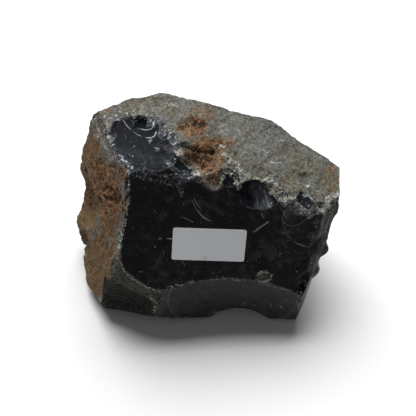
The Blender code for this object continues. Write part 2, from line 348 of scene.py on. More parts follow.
def on_stone(u, v):
    """The place on the stone that a pixel of the photograph shows."""
    steps = np.arange(*RAY_STEPS)[:, None]
    places = EYE + steps * photo_ray(u, v)
    reach = plain_reaches(unit_rows(places)).min(axis=1)
    gap = np.linalg.norm(places, axis=1) - reach
    inside = np.nonzero(gap < 0)[0]
    return places[inside[0]] if len(inside) else places[int(np.argmin(gap))]


def on_way(azimuth, elevation):
    way = direction(azimuth, elevation)
    return way * plain_reaches(way[None, :]).min()


def outward(place):
    """The way out of the stone at a place, halfway between breaks where they meet."""
    reach = plain_reaches(unit_rows(place[None, :]))[0]
    normals = np.concatenate([FACE_WAYS, unit_rows(SCAR_CENTRES - place)])
    near = np.exp((reach.min() - reach) / CHIP_BLEND)
    total = near @ normals
    return total / np.linalg.norm(total)


def chip_ball(place, radius, depth):
    return np.append(place + outward(place) * (radius - depth), radius)


def stray_chips():
    """Small chips by chance along the ridges of the glass on the sides away from the camera."""
    dice = np.random.default_rng(SEEDS["stray"])
    ways = unit_rows(dice.normal(size=(STRAY_TRIES, 3)))
    table = plain_reaches(ways)
    order = np.argsort(table, axis=1)[:, :2]
    pair = np.take_along_axis(table, order, axis=1)
    on_ridge = (pair[:, 1] - pair[:, 0] < STRAY_GAP) & (GLASS_BREAKS[order].any(axis=1))
    places = ways[on_ridge] * pair[on_ridge, :1]
    places = [place for place in places if outward(place) @ BACK < STRAY_FACING][:STRAY_CHIPS]
    radii = dice.uniform(*STRAY_RADII, len(places))
    depths = radii * dice.uniform(*STRAY_DEPTHS, len(places))
    return [chip_ball(*row) for row in zip(places, radii, depths)]


SKINS = [row[3] for row in FRACTURES.values()]
SKINS += ["rind" if name in RIND_SCARS else "glass" for name in SCARS]
GLASS_BREAKS = np.array([skin == "glass" for skin in SKINS])
RIND_BREAKS = np.array([skin == "rind" for skin in SKINS])
PLACED_CHIPS = [chip_ball(on_stone(u, v), radius, depth) for u, v, radius, depth in CHIPS.values()]
CHIP_BALLS = np.array(PLACED_CHIPS + stray_chips())
NAMES = list(FRACTURES) + list(SCARS) + list(CHIPS)
NAMES += [f"stray_{row}" for row in range(len(CHIP_BALLS) - len(CHIPS))]
SKINS += ["glass"] * len(CHIP_BALLS)
IS_RIND = np.array([skin == "rind" for skin in SKINS])
IS_GLASS = np.array([skin == "glass" for skin in SKINS])
LABEL_FOOT = on_stone(*LABEL_PIXEL)
BASE_DEPTH = FRACTURES["base"][2]


SEED_SHIFT = (17.3, 5.1, 9.7)


def rolling(points, size, height, seed):
    """A smooth random rise and fall, with humps about size apart."""
    shift = Vector([seed * step for step in SEED_SHIFT])
    return height * np.array([noise.noise(Vector(row) / size + shift) for row in points])


def layered(points, layers, seed, total=0.0):
    """The sum of several such rises, each with a seed of its own."""
    for step, (size, height) in enumerate(layers):
        total = total + rolling(points, size, height, seed + step)
    return total


def pocks(points, size, radius, depth):
    """Small round pits by chance, each point's depth below the skin."""
    away = np.array([noise.voronoi(Vector(row) / size)[0][0] for row in points])
    return depth * np.clip(1 - (away / radius) ** 2, 0.0, 1.0)


def smooth_step(low, high, value):
    share = np.clip((value - low) / (high - low), 0.0, 1.0)
    return share * share * (3 - 2 * share)


def domes(points, spots):
    """The height of the tallest round dome over each point, from rows like those of SWELLS."""
    tallest = np.zeros(len(points))
    for azimuth, elevation, radius, height in spots.values():
        away = np.linalg.norm(points - on_way(azimuth, elevation), axis=1) / radius
        tallest = np.maximum(tallest, height * np.clip(1 - away**2, 0.0, 1.0) ** SWELL_POWER)
    return tallest


def ragged_rises(points):
    """Uneven skin on the small scars and chips, and upright grooves down the right end."""
    rises = np.zeros((len(points), len(NAMES)))
    uneven = sum(rolling(points, size, height, SEEDS["ragged"]) for size, height in RAGGED)
    rises[:, [NAMES.index(name) for name in RAGGED_SCARS]] += uneven[:, None]
    rises[:, len(FRACTURES) + len(SCARS) :] += uneven[:, None] * CHIP_RAGGEDNESS
    grooves = rolling(points / np.array(GROOVE_SIZE), 1.0, GROOVE_HEIGHT, SEEDS["grooves"])
    rises[:, [NAMES.index(name) for name in GROOVED]] += grooves[:, None]
    return rises


def ripple_rises(points):
    """The rise of each scar's ripples at each point, one column to a break, scar or chip."""
    rises = np.zeros((len(points), len(NAMES)))
    wobble = rolling(points, *RIPPLE_WOBBLE, SEEDS["ripples"])
    blows = {name: (on_stone(row[0], row[1]), row[2], row[3]) for name, row in RIPPLES.items()}
    for name, row in HIDDEN_RIPPLES.items():
        blows[name] = (on_way(row[0], row[1]), row[2], row[3])
    for name, (blow, spacing, height) in blows.items():
        away = np.linalg.norm(points - blow, axis=1)
        fade = np.exp(-away / (spacing * RIPPLE_REACH))
        turns = away / spacing + wobble
        rises[:, NAMES.index(name)] = height * fade * np.sin(turns * 2 * math.pi)
    return rises


# Pits in the rind: pixel, radius and depth.
PITS = {
    "rust_pit": (197.0, 124.0, 2.6, 2.2),
    "rust_pit_left": (180.0, 127.0, 2.0, 1.8),
    "rust_bowl": (189.0, 127.0, 5.6, 0.9),
    "rust_pit_low": (192.0, 134.0, 1.8, 0.9),
    "slope_hollow": (195.0, 160.0, 3.2, 0.9),
    "slope_low": (208.0, 170.0, 3.4, 1.0),
    "tongue_pit": (214.0, 179.0, 2.4, 0.9),
    "left_pit_high": (107.0, 188.0, 3.4, 1.8),
    "left_pit_low": (115.0, 199.0, 3.6, 2.0),
    "left_pit_mid": (100.0, 201.0, 3.0, 1.4),
    "left_pit_top": (97.0, 172.0, 3.2, 1.4),
    "left_pit_middle": (92.0, 182.0, 2.8, 1.2),
    "left_rim_hole": (86.0, 171.0, 2.4, 2.0),
    "left_grey_hole": (95.0, 220.0, 2.0, 1.0),
    "left_low_hole": (85.0, 244.0, 2.4, 1.2),
    "left_pit_deep": (108.0, 206.0, 2.8, 2.0),
    "left_pit_right": (119.0, 197.0, 2.4, 1.4),
    "left_pit_far": (93.0, 194.0, 2.4, 1.2),
    "crack_start": (300.0, 193.5, 1.5, 0.8),
    "crack_middle": (304.5, 196.0, 1.9, 1.3),
    "crack_low": (309.0, 199.5, 1.8, 1.3),
    "crack_end": (314.0, 203.0, 1.5, 0.9),
}
PIT_WALL = (0.3, 1.05)

# Long hollows in the rind: the pixels along them, half the width and depth.
HOLLOWS = {
    "overhang": (((182, 146), (190, 148), (198, 150), (206, 151), (213, 152)), 2.1, 3.0),
    "overhang_end": (((182, 145), (191, 146)), 2.0, 1.2),
    "pit_rim": (((180, 124), (188, 121), (198, 122)), 1.5, 1.4),
    "slope_crease": (((184, 156), (192, 160), (199, 158)), 1.3, 1.0),
    "slope_crease_low": (((203, 168), (211, 172), (216, 169)), 1.3, 1.0),
    "left_crease": (((103, 190), (108, 187), (112, 189), (114, 193)), 1.3, 1.7),
    "left_crease_low": (((104, 196), (108, 199), (114, 198), (118, 202)), 1.5, 1.8),
    "right_crack": (((229, 116), (225, 126), (221, 136), (218, 143)), 0.7, 0.5),
}
HOLLOW_WALL = (0.2, 1.1)


def from_line(points, corners):
    """How far each point lies from a bent line on the stone."""
    places = [on_stone(*corner) for corner in corners]
    least = np.full(len(points), np.inf)
    for start, end in zip(places[:-1], places[1:]):
        span = end - start
        share = np.clip((points - start) @ span / (span @ span), 0.0, 1.0)
        away = np.linalg.norm(points - start - share[:, None] * span, axis=1)
        least = np.minimum(least, away)
    return least


def pit_depths(points):
    """How deep the pits and hollows of the rind lie at each point."""
    depth = np.zeros(len(points))
    ragged = layered(points, PIT_EDGES, SEEDS["pits"])
    for u, v, radius, deep in PITS.values():
        away = np.linalg.norm(points - on_stone(u, v), axis=1) / radius + ragged
        depth = np.maximum(depth, deep * (1 - smooth_step(*PIT_WALL, away)))
    for corners, width, deep in HOLLOWS.values():
        away = from_line(points, corners) / width + ragged
        depth = np.maximum(depth, deep * (1 - smooth_step(*HOLLOW_WALL, away)))
    return depth


def all_reaches(ways):
    """Distance from the heart to each break, scar and chip along each way."""
    chips = ball_reaches(ways, CHIP_BALLS[:, :3], CHIP_BALLS[:, 3])
    return np.concatenate([plain_reaches(ways), chips], axis=1)


def worn_surface(ways):
    """Distance from the heart to the weathered surface, and which break, scar or chip is there."""
    table = all_reaches(ways)
    points = ways * table.min(axis=1)[:, None]
    pitted = -pit_depths(points) - pocks(points, *RIND_POCKS)
    lumps = layered(points, RIND_LUMPS, SEEDS["lumps"], pitted)
    waves = layered(points, GLASS_WAVES, SEEDS["waves"])
    table[:, IS_RIND] += lumps[:, None]
    table[:, IS_GLASS] += waves[:, None]
    table += ripple_rises(points) + ragged_rises(points)
    off_label = smooth_step(*LABEL_CLEARANCE, np.linalg.norm(points - LABEL_FOOT, axis=1))
    table[:, NAMES.index("front_glass")] -= waves * (1 - off_label)
    table[:, NAMES.index("base")] = BASE_DEPTH / np.maximum(-ways[:, 2], LEAST_FALL)
    kinds = np.argmin(table, axis=1)
    off_base = smooth_step(0.0, BASE_CLEARANCE, points[:, 2] + BASE_DEPTH)
    swells = domes(points, SWELLS) * off_base * off_label
    return table[np.arange(len(ways)), kinds] + swells, kinds


def mesh_points(mesh):
    flat = np.zeros(len(mesh.vertices) * 3)
    mesh.vertices.foreach_get("co", flat)
    return flat.reshape(-1, 3) / MM - HEART


def put_points(mesh, points):
    mesh.vertices.foreach_set("co", ((points + HEART) * MM).reshape(-1))
    mesh.update()


def mesh_edges(mesh):
    flat = np.zeros(len(mesh.edges) * 2, dtype=np.int64)
    mesh.edges.foreach_get("vertices", flat)
    return flat.reshape(-1, 2)


def baked(item):
    """The item's mesh with its modifiers made real and taken off."""
    graph = bpy.context.evaluated_depsgraph_get()
    mesh = bpy.data.meshes.new_from_object(item.evaluated_get(graph))
    item.modifiers.clear()
    item.data = mesh
    return item


def even_net(source, name, size):
    """A copy of a CAD solid's surface as an even net."""
    copy = link(bpy.data.objects.new(name, source.data.copy()))
    shape = bmesh.new()
    shape.from_mesh(copy.data)
    bmesh.ops.remove_doubles(shape, verts=shape.verts[:], dist=TINY)
    shape.to_mesh(copy.data)
    shape.free()
    net = copy.modifiers.new("net", "REMESH")
    net.mode = "VOXEL"
    net.voxel_size = size * MM
    return baked(copy)


HALVINGS = 6


def snap_to_ridges(points, kinds, edges):
    """The nearer end of each edge that crosses a ridge moves onto it, so breaks meet cleanly."""
    across = edges[kinds[edges[:, 0]] != kinds[edges[:, 1]]]
    start = points[across[:, 0]]
    span = points[across[:, 1]] - start
    home = kinds[across[:, 0]]
    low = np.zeros(len(across))
    high = np.ones(len(across))
    for _ in range(HALVINGS):
        middle = (low + high) / 2
        same = worn_surface(unit_rows(start + span * middle[:, None]))[1] == home
        low = np.where(same, middle, low)
        high = np.where(same, high, middle)
    share = (low + high) / 2
    ways = unit_rows(start + span * share[:, None])
    places = ways * worn_surface(ways)[0][:, None]
    nearer = np.where(share <= 0.5, across[:, 0], across[:, 1])
    moved = np.linalg.norm(points[nearer] - places, axis=1)
    settled = np.zeros(len(points), dtype=bool)
    for row in np.argsort(moved):
        a, b = across[row]
        if settled[a] or settled[b] or moved[row] > SKIN_SIZE:
            continue
        points[nearer[row]] = places[row]
        settled[nearer[row]] = True
    return points, settled


def split_along_ridges(mesh, settled):
    """Four-sided faces that touch a ridge are split from ridge point to ridge point."""
    shape = bmesh.new()
    shape.from_mesh(mesh)
    shape.verts.ensure_lookup_table()
    for face in [item for item in shape.faces if len(item.verts) == 4]:
        corners = list(face.verts)
        marks = [bool(settled[corner.index]) for corner in corners]
        if marks[0] and marks[2]:
            bmesh.utils.face_split(face, corners[0], corners[2])
        elif marks[1] and marks[3]:
            bmesh.utils.face_split(face, corners[1], corners[3])
    shape.to_mesh(mesh)
    shape.free()


def make_stone():
    stone = even_net(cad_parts["stone"], "obsidian", SKIN_SIZE)
    mesh = stone.data
    ways = unit_rows(mesh_points(mesh))
    reach, kinds = worn_surface(ways)
    points, settled = snap_to_ridges(ways * reach[:, None], kinds, mesh_edges(mesh))
    put_points(mesh, points)
    split_along_ridges(mesh, settled)
    return stone, kinds, settled


stone, stone_kinds, stone_ridges = make_stone()


# The skin of the stone carries rust, tan and olive rind, crushed glass, dirt and haze in places,
# with painted shade in its pits and painted sheen in some smears. Each is a number at every point
# of the stone, which its material reads.

# Groups of spots: each spot is a pixel of the photograph, a radius in pixels and a strength.
RUST = {
    "high_pit": ((194, 126, 13, 0.9), (183, 127, 9, 0.7), (206, 113, 9, 0.4), (190, 134, 5, 0.5)),
    "step": ((216, 141, 8, 0.55), (188, 149, 6, 0.8), (200, 152, 12, 0.95), (214, 148, 10, 0.9)),
    "slope": ((192, 160, 9, 0.8), (203, 163, 13, 0.75), (196, 155, 10, 0.9), (217, 158, 8, 0.5)),
    "tongue": ((207, 172, 10, 0.75), (214, 181, 10, 0.9)),
    "over_scar": ((168, 112, 9, 0.3), (226, 142, 9, 0.5), (222, 131, 9, 0.3)),
    "upper_left": (
        (92, 164, 12, 0.85), (100, 170, 15, 1.0), (112, 171, 14, 1.0), (122, 174, 9, 0.9),
    ),
    "middle_left": ((103, 184, 19, 1.0), (115, 192, 16, 1.0), (93, 186, 15, 0.9)),
    "lower_left": (
        (106, 203, 19, 1.0), (121, 203, 11, 1.0), (93, 204, 11, 0.7), (112, 213, 11, 0.7),
    ),
    "far_right": ((332, 167, 3, 0.5), (87, 213, 5, 0.4)),
}
TAN = {
    "around_rust": ((206, 156, 26, 0.5), (198, 124, 20, 0.4), (212, 176, 9, 0.6)),
    "right_end": ((331, 186, 10, 0.35), (332, 170, 8, 0.45)),
    "left_top": ((95, 150, 18, 0.8), (90, 136, 12, 0.6), (109, 111, 4, 0.6), (110, 153, 9, 0.7)),
    "bright_left": ((111, 193, 6, 1.0), (112, 206, 10, 1.0)),
    "bright_top": ((219, 143, 6, 1.0), (207, 143, 7, 0.9), (192, 130, 7, 0.9)),
    "bevel": ((107, 266, 8, 0.6), (120, 279, 7, 0.35), (150, 297, 8, 0.4), (127, 286, 6, 0.3)),
}
UNTANNED = {
    "upper_left": ((94, 132, 12, 0.5),),
    "waist": ((97, 222, 12, 0.7), (92, 232, 9, 0.5), (110, 240, 7, 0.4), (86, 245, 7, 0.4)),
}
# Spots of painted shade in holes too deep for light to reach.
HOLE_SHADE = {
    "left_top": ((85, 171, 3, 1.0), (92, 168, 2, 0.7), (99, 169, 2.5, 0.7), (91, 157, 2, 0.7)),
    "left_edge": ((98, 158, 2, 0.7), (117, 165, 3, 0.7), (84, 220, 2.5, 0.6), (84, 245, 2.5, 0.7)),
    "left": ((105, 189, 3, 0.9), (110, 188, 3.5, 0.9), (109, 195, 2.5, 0.8), (114, 198, 4, 1.0)),
    "left_low": ((122, 201, 3, 0.9), (90, 204, 2.5, 0.8), (97, 203, 2.5, 0.8)),
    "pit": ((197, 125, 3.5, 0.9), (180, 126, 3, 0.9), (211, 127, 1.6, 0.8), (193, 135, 2, 0.8)),
    "step": ((184, 145, 4, 0.8), (190, 147, 3, 0.8), (206, 152, 3.5, 0.9), (211, 149, 3, 0.8)),
    "step_edge": ((220, 141, 1.6, 0.8), (203, 121, 2, 0.5)),
    "slope": ((195, 160, 3, 0.7), (188, 156, 2.5, 0.6), (214, 176, 3.5, 0.7), (204, 168, 2, 0.6)),
    "slope_low": ((198, 164, 2, 0.6),),
}
OLIVE = {
    "right_end": (
        (305, 168, 20, 0.8), (326, 180, 16, 0.9), (318, 200, 14, 0.8), (290, 182, 14, 0.8),
    ),
    "ridge": ((262, 172, 12, 0.7), (240, 162, 12, 0.6), (288, 150, 12, 0.6), (224, 152, 10, 0.7)),
    "left": ((92, 145, 12, 0.7), (104, 152, 9, 0.6), (130, 105, 16, 0.8), (198, 112, 14, 0.7)),
    "left_low": ((95, 226, 14, 0.8), (108, 232, 12, 0.6), (100, 252, 12, 0.5), (114, 246, 9, 0.6)),
    "slope": ((207, 166, 13, 0.9), (214, 180, 10, 0.8), (196, 137, 9, 0.6), (190, 158, 7, 0.5)),
    "back": ((215, 108, 14, 0.5), (250, 112, 10, 0.4), (152, 104, 13, 0.6), (172, 112, 9, 0.7)),
}
# Bruised places; their white is partly whitened glass and partly painted glints.
BRUISES = {
    "left_corner": ((95, 125, 8, 0.7), (101, 119, 6, 0.7)),
    "over_scar": ((118, 111, 5, 0.5), (128, 111, 5, 0.45), (138, 111, 4, 0.45), (148, 112, 4, 0.5)),
    "top_edge": ((168, 97, 4, 0.5), (176, 100, 4, 0.55), (183, 104, 4, 0.5), (178, 106, 3, 0.4)),
    "left_glass": ((122, 184, 4, 0.5), (125, 192, 4, 0.6), (124, 176, 4, 0.4)),
    "crack": ((305, 199, 5, 0.75), (309, 204, 4, 0.7), (315, 207, 3, 0.7), (286, 192, 3, 0.6)),
    "notch": ((239, 188, 3, 0.8), (262, 200, 5, 0.4), (270, 205, 4, 0.5)),
    "top_right": ((305, 174, 5, 0.4), (325, 206, 4, 0.5)),
    "glass": ((181, 181, 4, 0.5), (166, 190, 3, 0.3), (160, 238, 2, 0.7), (141, 273, 3, 0.3)),
    "over_notch": ((228, 162, 5, 0.45), (236, 168, 5, 0.5), (244, 176, 5, 0.5), (226, 151, 4, 0.4)),
    "scar": ((158, 150, 3, 0.7), (150, 141, 3, 0.5), (187, 160, 5, 0.6), (195, 168, 4, 0.5)),
}

# Lines along which the glass is crusted or crushed: the pixels along them, half the width in
# millimetres and the strength.
FRINGE = {
    "left_ridge": (
        ((129, 167), (129, 192), (126, 212), (123, 233), (119, 248), (112, 258)),
        0.9, 0.62,
    ),
    "bevel": (((112, 257), (119, 259), (123, 269), (132, 279), (148, 288), (162, 292)), 0.6, 0.52),
    "front_foot": (
        ((168, 288), (198, 281), (226, 279), (255, 282), (277, 288), (303, 293)),
        0.5, 0.36,
    ),
    "lobe": (((176, 150), (183, 160), (190, 167), (200, 173)), 1.5, 0.6),
    "tongue": (((193, 173), (203, 177), (209, 184), (214, 189), (221, 184), (224, 174)), 1.2, 0.85),
    "middle": (((225, 170), (234, 175), (239, 187)), 1.8, 0.8),
    "over_notch": (((256, 178), (264, 179), (270, 182)), 1.0, 0.7),
    "over_nick": (((226, 157), (232, 163), (240, 169), (248, 177)), 1.9, 0.6),
    "tongue_tip": (((207, 175), (212, 181), (216, 178)), 1.1, 0.45),
    "right": (((267, 180), (272, 187), (278, 195), (286, 202), (293, 200), (298, 207)), 2.8, 0.95),
    "right_end": (
        ((298, 207), (308, 213), (316, 209), (323, 210), (331, 200), (337, 195)),
        2.6, 0.9,
    ),
    "right_edge": (
        ((318, 214), (316, 236), (312, 250), (311, 262), (306, 276), (303, 298)),
        0.4, 0.32,
    ),
    "brown_ring": (((257, 275), (260, 272), (265, 271), (270, 273), (272, 277)), 0.6, 0.62),
    "brown_ring_foot": (((272, 277), (270, 280), (265, 282), (260, 281)), 0.6, 0.62),
    "brown_middle": (((262, 277), (266, 275), (266, 279)), 0.5, 0.5),
    "foot_edge": (((209, 314), (213, 312), (224, 311), (236, 312)), 0.5, 0.5),
    "bevel_foot": (((150, 296), (156, 303), (154, 312)), 1.0, 0.45),
    "scar_left": (((94, 120), (97, 130), (99, 138)), 2.4, 0.55),
    "scar_left_low": (((102, 140), (107, 150), (113, 160)), 2.2, 0.5),
    "scar_top": (((134, 113), (141, 115), (152, 117)), 1.4, 0.75),
    "top_swirl": (((162, 110), (166, 106), (172, 104), (176, 107)), 1.1, 0.5),
}
CRUSHED = {
    "scar_left": (((101, 118), (105, 128), (109, 138), (112, 150), (120, 160)), 2.8, 0.7),
    "scar_top": (((104, 116), (114, 117), (126, 115), (138, 114), (150, 117)), 2.6, 0.75),
    "scar_right": (((150, 117), (159, 124), (167, 131), (173, 139), (177, 147)), 3.2, 0.95),
    "lobe": (((168, 163), (174, 169), (180, 175), (188, 173)), 2.2, 0.95),
    "scar_foot": (((120, 159), (126, 162), (132, 167)), 1.6, 0.8),
    "scar_foot_edge": (
        ((128, 169), (141, 172), (155, 174), (170, 176), (186, 178), (199, 181)),
        2.2, 0.55,
    ),
    "under_scar": (((130, 174), (148, 179), (164, 182), (178, 186), (182, 194)), 2.0, 0.45),
    "notch": (((221, 173), (226, 171), (232, 174), (237, 179)), 2.2, 1.0),
    "chips": (((276, 196), (284, 204), (290, 203), (298, 210), (308, 215), (316, 213)), 2.4, 0.95),
    "top_crack": (((308, 182), (309, 190), (313, 197), (320, 205)), 1.5, 0.6),
    "left_ridge": (((127, 172), (129, 182), (128, 194)), 1.0, 0.5),
}

# Zones of the front: the pixels of their corners.
ZONES = {
    "old_scar": (
        (110, 128), (114, 122), (123, 117), (136, 116), (147, 119), (155, 125), (163, 131), (169, 139),
        (172, 149), (181, 156), (190, 163), (200, 172), (180, 177), (150, 174), (128, 172), (117, 158),
        (113, 149), (111, 138),
    ),
    "lower_left": (
        (104, 277), (111, 279), (117, 282), (132, 290), (148, 298), (156, 305), (153, 320), (100, 320),
    ),
    "bevel": (
        (112, 258), (119, 259), (123, 269), (132, 279), (141, 284), (148, 288), (162, 292), (168, 288),
        (163, 300), (160, 320), (153, 320), (156, 305), (148, 298), (132, 290), (117, 282), (111, 279),
        (110, 268),
    ),
    "tongue": (
        (178, 146), (184, 159), (190, 166), (193, 173), (203, 177), (208, 183), (214, 190), (221, 184),
        (224, 172), (232, 164), (215, 150), (190, 140),
    ),
    "under_tongue": (
        (178, 177), (193, 180), (202, 183), (207, 189), (214, 194), (221, 189), (227, 180), (232, 200),
        (205, 206), (178, 195),
    ),
}
# Smears of dust on the front glass. In the notch, the pocket and along the old scar's foot and side
# they lighten the glass and its haze streaks as painted sheen.
SMEARS_AND_SHEEN = {
    "lower_right": (
        (285, 240, 16, 0.7), (270, 256, 18, 1.0), (292, 258, 12, 0.9), (255, 240, 10, 0.5),
    ),
    "under_label": (
        (245, 270, 14, 0.9), (215, 270, 12, 0.8), (185, 272, 12, 0.5), (160, 270, 12, 0.8),
    ),
    "upper_left": (
        (140, 174, 12, 0.8), (160, 178, 12, 0.8), (180, 176, 10, 0.7), (140, 200, 8, 0.4),
    ),
    "under_notch": ((262, 212, 9, 0.6), (280, 215, 9, 0.5), (232, 200, 8, 0.5), (216, 200, 8, 0.5)),
    "left": ((150, 235, 10, 0.5), (160, 215, 8, 0.4), (136, 250, 8, 0.4)),
    "right_end": (
        (330, 212, 10, 1.0), (325, 228, 10, 1.0), (323, 244, 10, 0.9), (318, 262, 10, 0.8),
    ),
    "notch": ((255, 194, 7, 1.0), (264, 192, 7, 1.0), (266, 203, 7, 1.0), (258, 206, 6, 0.8)),
    "pocket": ((304, 198, 5, 0.8), (312, 204, 5, 0.8)),
    "ridge_foot": ((245, 200, 9, 0.6), (256, 214, 8, 0.6), (272, 212, 8, 0.8), (292, 216, 8, 0.7)),
    "above_label": (
        (205, 208, 10, 0.6), (188, 205, 8, 0.5), (222, 212, 9, 0.5), (170, 200, 8, 0.5),
    ),
    "scar_foot": (
        (130, 158, 11, 0.8), (150, 160, 13, 0.8), (170, 160, 11, 0.8), (188, 165, 9, 1.0),
    ),
    "scar_side": ((162, 146, 8, 0.7), (152, 146, 8, 0.4), (118, 152, 6, 0.6)),
}
BARE_GLASS = {
    "beside_scar": ((160, 126, 6, 1.0), (167, 138, 8, 1.0), (172, 148, 7, 1.0), (150, 122, 5, 1.0)),
    "crack": (
        (301, 194, 2.4, 0.9), (306, 197, 2.4, 1.0), (310, 200, 2.4, 1.0), (314, 203, 2.4, 0.9),
    ),
}
DIRT = {
    "brown_chip": ((264, 277, 9, 1.1),),
    "foot": ((227, 310, 7, 0.6), (240, 311, 5, 0.4), (190, 316, 5, 0.4), (285, 317, 5, 0.4)),
    "right": ((322, 235, 9, 0.8), (323, 250, 9, 0.9), (316, 262, 9, 1.0), (313, 276, 9, 1.0)),
    "right_top": ((331, 213, 11, 1.1), (327, 227, 11, 1.1), (319, 223, 7, 0.7), (324, 243, 8, 1.0)),
    "right_foot": ((303, 296, 5, 0.6), (300, 309, 5, 0.5), (306, 284, 5, 0.6)),
    "flake": ((286, 228, 9, 0.35), (300, 234, 9, 0.35), (312, 236, 8, 0.5)),
}

# Each group of spots and of lines, with the size of its frayed edge in millimetres and a seed.
SPOT_MARKS = {
    "rust": (RUST, 3.0, 71),
    "tan": (TAN, 5.0, 73),
    "bruise": (BRUISES, 2.4, 75),
    "olive": (OLIVE, 6.0, 77),
    "bare": (BARE_GLASS, 3.0, 79),
    "smear_and_sheen": (SMEARS_AND_SHEEN, 4.0, 85),
    "dirt": (DIRT, 3.0, 89),
    "untanned": (UNTANNED, 5.0, 93),
    "hole": (HOLE_SHADE, 1.6, 97),
}
LINE_MARKS = {"fringe": (FRINGE, 2.2, 83), "crushed": (CRUSHED, 2.4, 87)}
FINER = 0.4
SPOT_FRAY = (0.5, 0.3)
SPOT_EDGE = (0.45, 1.2)
LINE_FRAY = (0.7, 0.4)
LINE_EDGE = (0.3, 1.2)
OUT_OF_SIGHT = 1e4

# How dull the film of dirt is on each broken face, and how misty each old scar is.
FILM_GROUPS = {
    2.0: "right_glass right_end right_knob right_foot right_edge_chip knob_chip",
    1.0: "upper_left_bevel lower_left_bevel low_bevel bevel_end bevel_top",
    0.9: "lower_front lower_front_scar foot_bite",
    0.8: "under_front under_left",
    0.7: "lower_left_corner",
    0.6: "right_shell under_back under_right",
    0.5: "lower_left lower_left_scar lower_right_corner back_right back_low_shell under_shell "
    "under_back_right",
    0.4: "ridge_flake back",
    0.35: "ridge_notch",
    0.3: "front_right_scar ridge_nick back_shell",
}
FILM = {name: dullness for dullness, names in FILM_GROUPS.items() for name in names.split()}
FILM_ON_LOWER_LEFT = 0.32
HAZED = {
    "top_left_scar": 1.0,
    "top_left_lobe": 1.0,
    "tongue_flake": 1.0,
    "ridge_nick": 0.8,
    "ridge_notch": 0.75,
    "ridge_flake": 0.7,
    "ridge_chip": 0.9,
}

# The bands on the lower left face run round a place near its foot, like the rings of an onion.
BAND_CENTRE = (118, 307)
BAND_WIDTH = 3.4
BAND_CLOUD = (5.0, 1.2)
BAND_LEVEL = 0.45

BARE_ZONES = ("old_scar", "lower_left", "bevel", "under_tongue")
ZONE_EDGE = (-0.4, 0.4)
ZONE_FRAY = 0.6
CRUST_GRAIN = 2.6
CRUST_FRAY = (0.9, 0.5)
CRUST_EDGE = (0.2, 1.0)
TAN_CLOUD = (14.0, 0.35)
TAN_STRENGTH = 0.72
TAN_HEIGHT = 0.5
CRUMBS = ((2.6, 1.0), (1.3, 0.6))
# Share of painted shade laid in the gaps between rust crumbs.
CRUMB_GAP_SHADE = 0.75
RIDGE_WIDTH = 0.3

# Between which values a mark turns from none to all.
CUTS = {
    "bare": (0.4, 0.6),
    "rusty_rind": (0.5, 0.7),
    "tan": (0.3, 0.75),
    "off_scar": (3.0, 6.0),
    "crumbly_rust": (0.4, 0.7),
    "gap": (0.34, 0.62),
    "pit": (1.1, 2.7),
}

# The roughness of the skin, in millimetres: rust rises and sinks between its crumbs, crushed glass
# stands in splinters of two sizes that lean, and the rind has a fine grain.
RUST_RISE = 0.45
GAP_DEPTH = 1.7
SPLINTERS = ((3.1, 1.5), (1.6, 0.8))
SPLINTER_MIX = 5.3
SPLINTER_STEP = 0.4
LEAST_CRUSHED = 0.02
HAZE_CRUSHED = 0.35
RIND_GRAIN = (1.1, 0.16)


def frayed_edge(points, grain, heights, seed):
    """A ragged rise and fall of two sizes for the edges of marks."""
    return layered(points, zip((grain, grain * FINER), heights), seed)


def spread(points, groups, grain, seed):
    """How strongly groups of spots cover each point."""
    cover = np.zeros(len(points))
    ragged = frayed_edge(points, grain, SPOT_FRAY, seed)
    for spots in groups.values():
        for u, v, radius, strength in spots:
            reach = radius * CAMERA_DISTANCE / FOCAL_PIXELS
            away = np.linalg.norm(points - on_stone(u, v), axis=1) / reach + ragged
            cover = np.maximum(cover, strength * (1 - smooth_step(*SPOT_EDGE, away)))
    return cover


def pixels_of(mesh, points):
    """Where each point shows in the photograph; points that face away from it are far off it."""
    depth = CAMERA_DISTANCE - points @ BACK
    u = PHOTO_SIDE / 2 + FOCAL_PIXELS * (points @ RIGHT) / depth
    v = PHOTO_SIDE / 2 - FOCAL_PIXELS * (points @ UP) / depth
    normals = np.zeros(len(points) * 3)
    mesh.vertex_normals.foreach_get("vector", normals)
    facing = np.sum(normals.reshape(-1, 3) * (EYE - points), axis=1) > 0
    return np.where(facing, u, OUT_OF_SIGHT), v


def beside(pixels, corners):
    """How far each point shows from a bent line, in millimetres."""
    u, v = pixels
    least = np.full(len(u), OUT_OF_SIGHT)
    for (x0, y0), (x1, y1) in zip(corners[:-1], corners[1:]):
        span = (x1 - x0) ** 2 + (y1 - y0) ** 2
        share = np.clip(((u - x0) * (x1 - x0) + (v - y0) * (y1 - y0)) / span, 0.0, 1.0)
        away = np.hypot(u - x0 - share * (x1 - x0), v - y0 - share * (y1 - y0))
        least = np.minimum(least, away)
    return least * CAMERA_DISTANCE / FOCAL_PIXELS


def in_zone(pixels, corners, fray):
    """1 inside a zone of the front and 0 outside it, with a ragged border."""
    u, v = pixels
    inside = np.zeros(len(u), dtype=bool)
    closed = (*corners, corners[0])
    for (x0, y0), (x1, y1) in zip(closed[:-1], closed[1:]):
        if y0 == y1:
            continue
        crossed = ((y0 > v) != (y1 > v)) & (u < x0 + (v - y0) * (x1 - x0) / (y1 - y0))
        inside ^= crossed
    depth = beside(pixels, closed)
    return smooth_step(*ZONE_EDGE, np.where(inside, depth, -depth) + fray)


def along(points, pixels, lines, grain, seed):
    """How strongly a group of lines covers each point."""
    cover = np.zeros(len(points))
    ragged = frayed_edge(points, grain, LINE_FRAY, seed)
    for corners, width, strength in lines.values():
        away = beside(pixels, corners) / width + ragged
        cover = np.maximum(cover, strength * (1 - smooth_step(*LINE_EDGE, away)))
    return cover


def cut(name, values):
    return smooth_step(*CUTS[name], values)


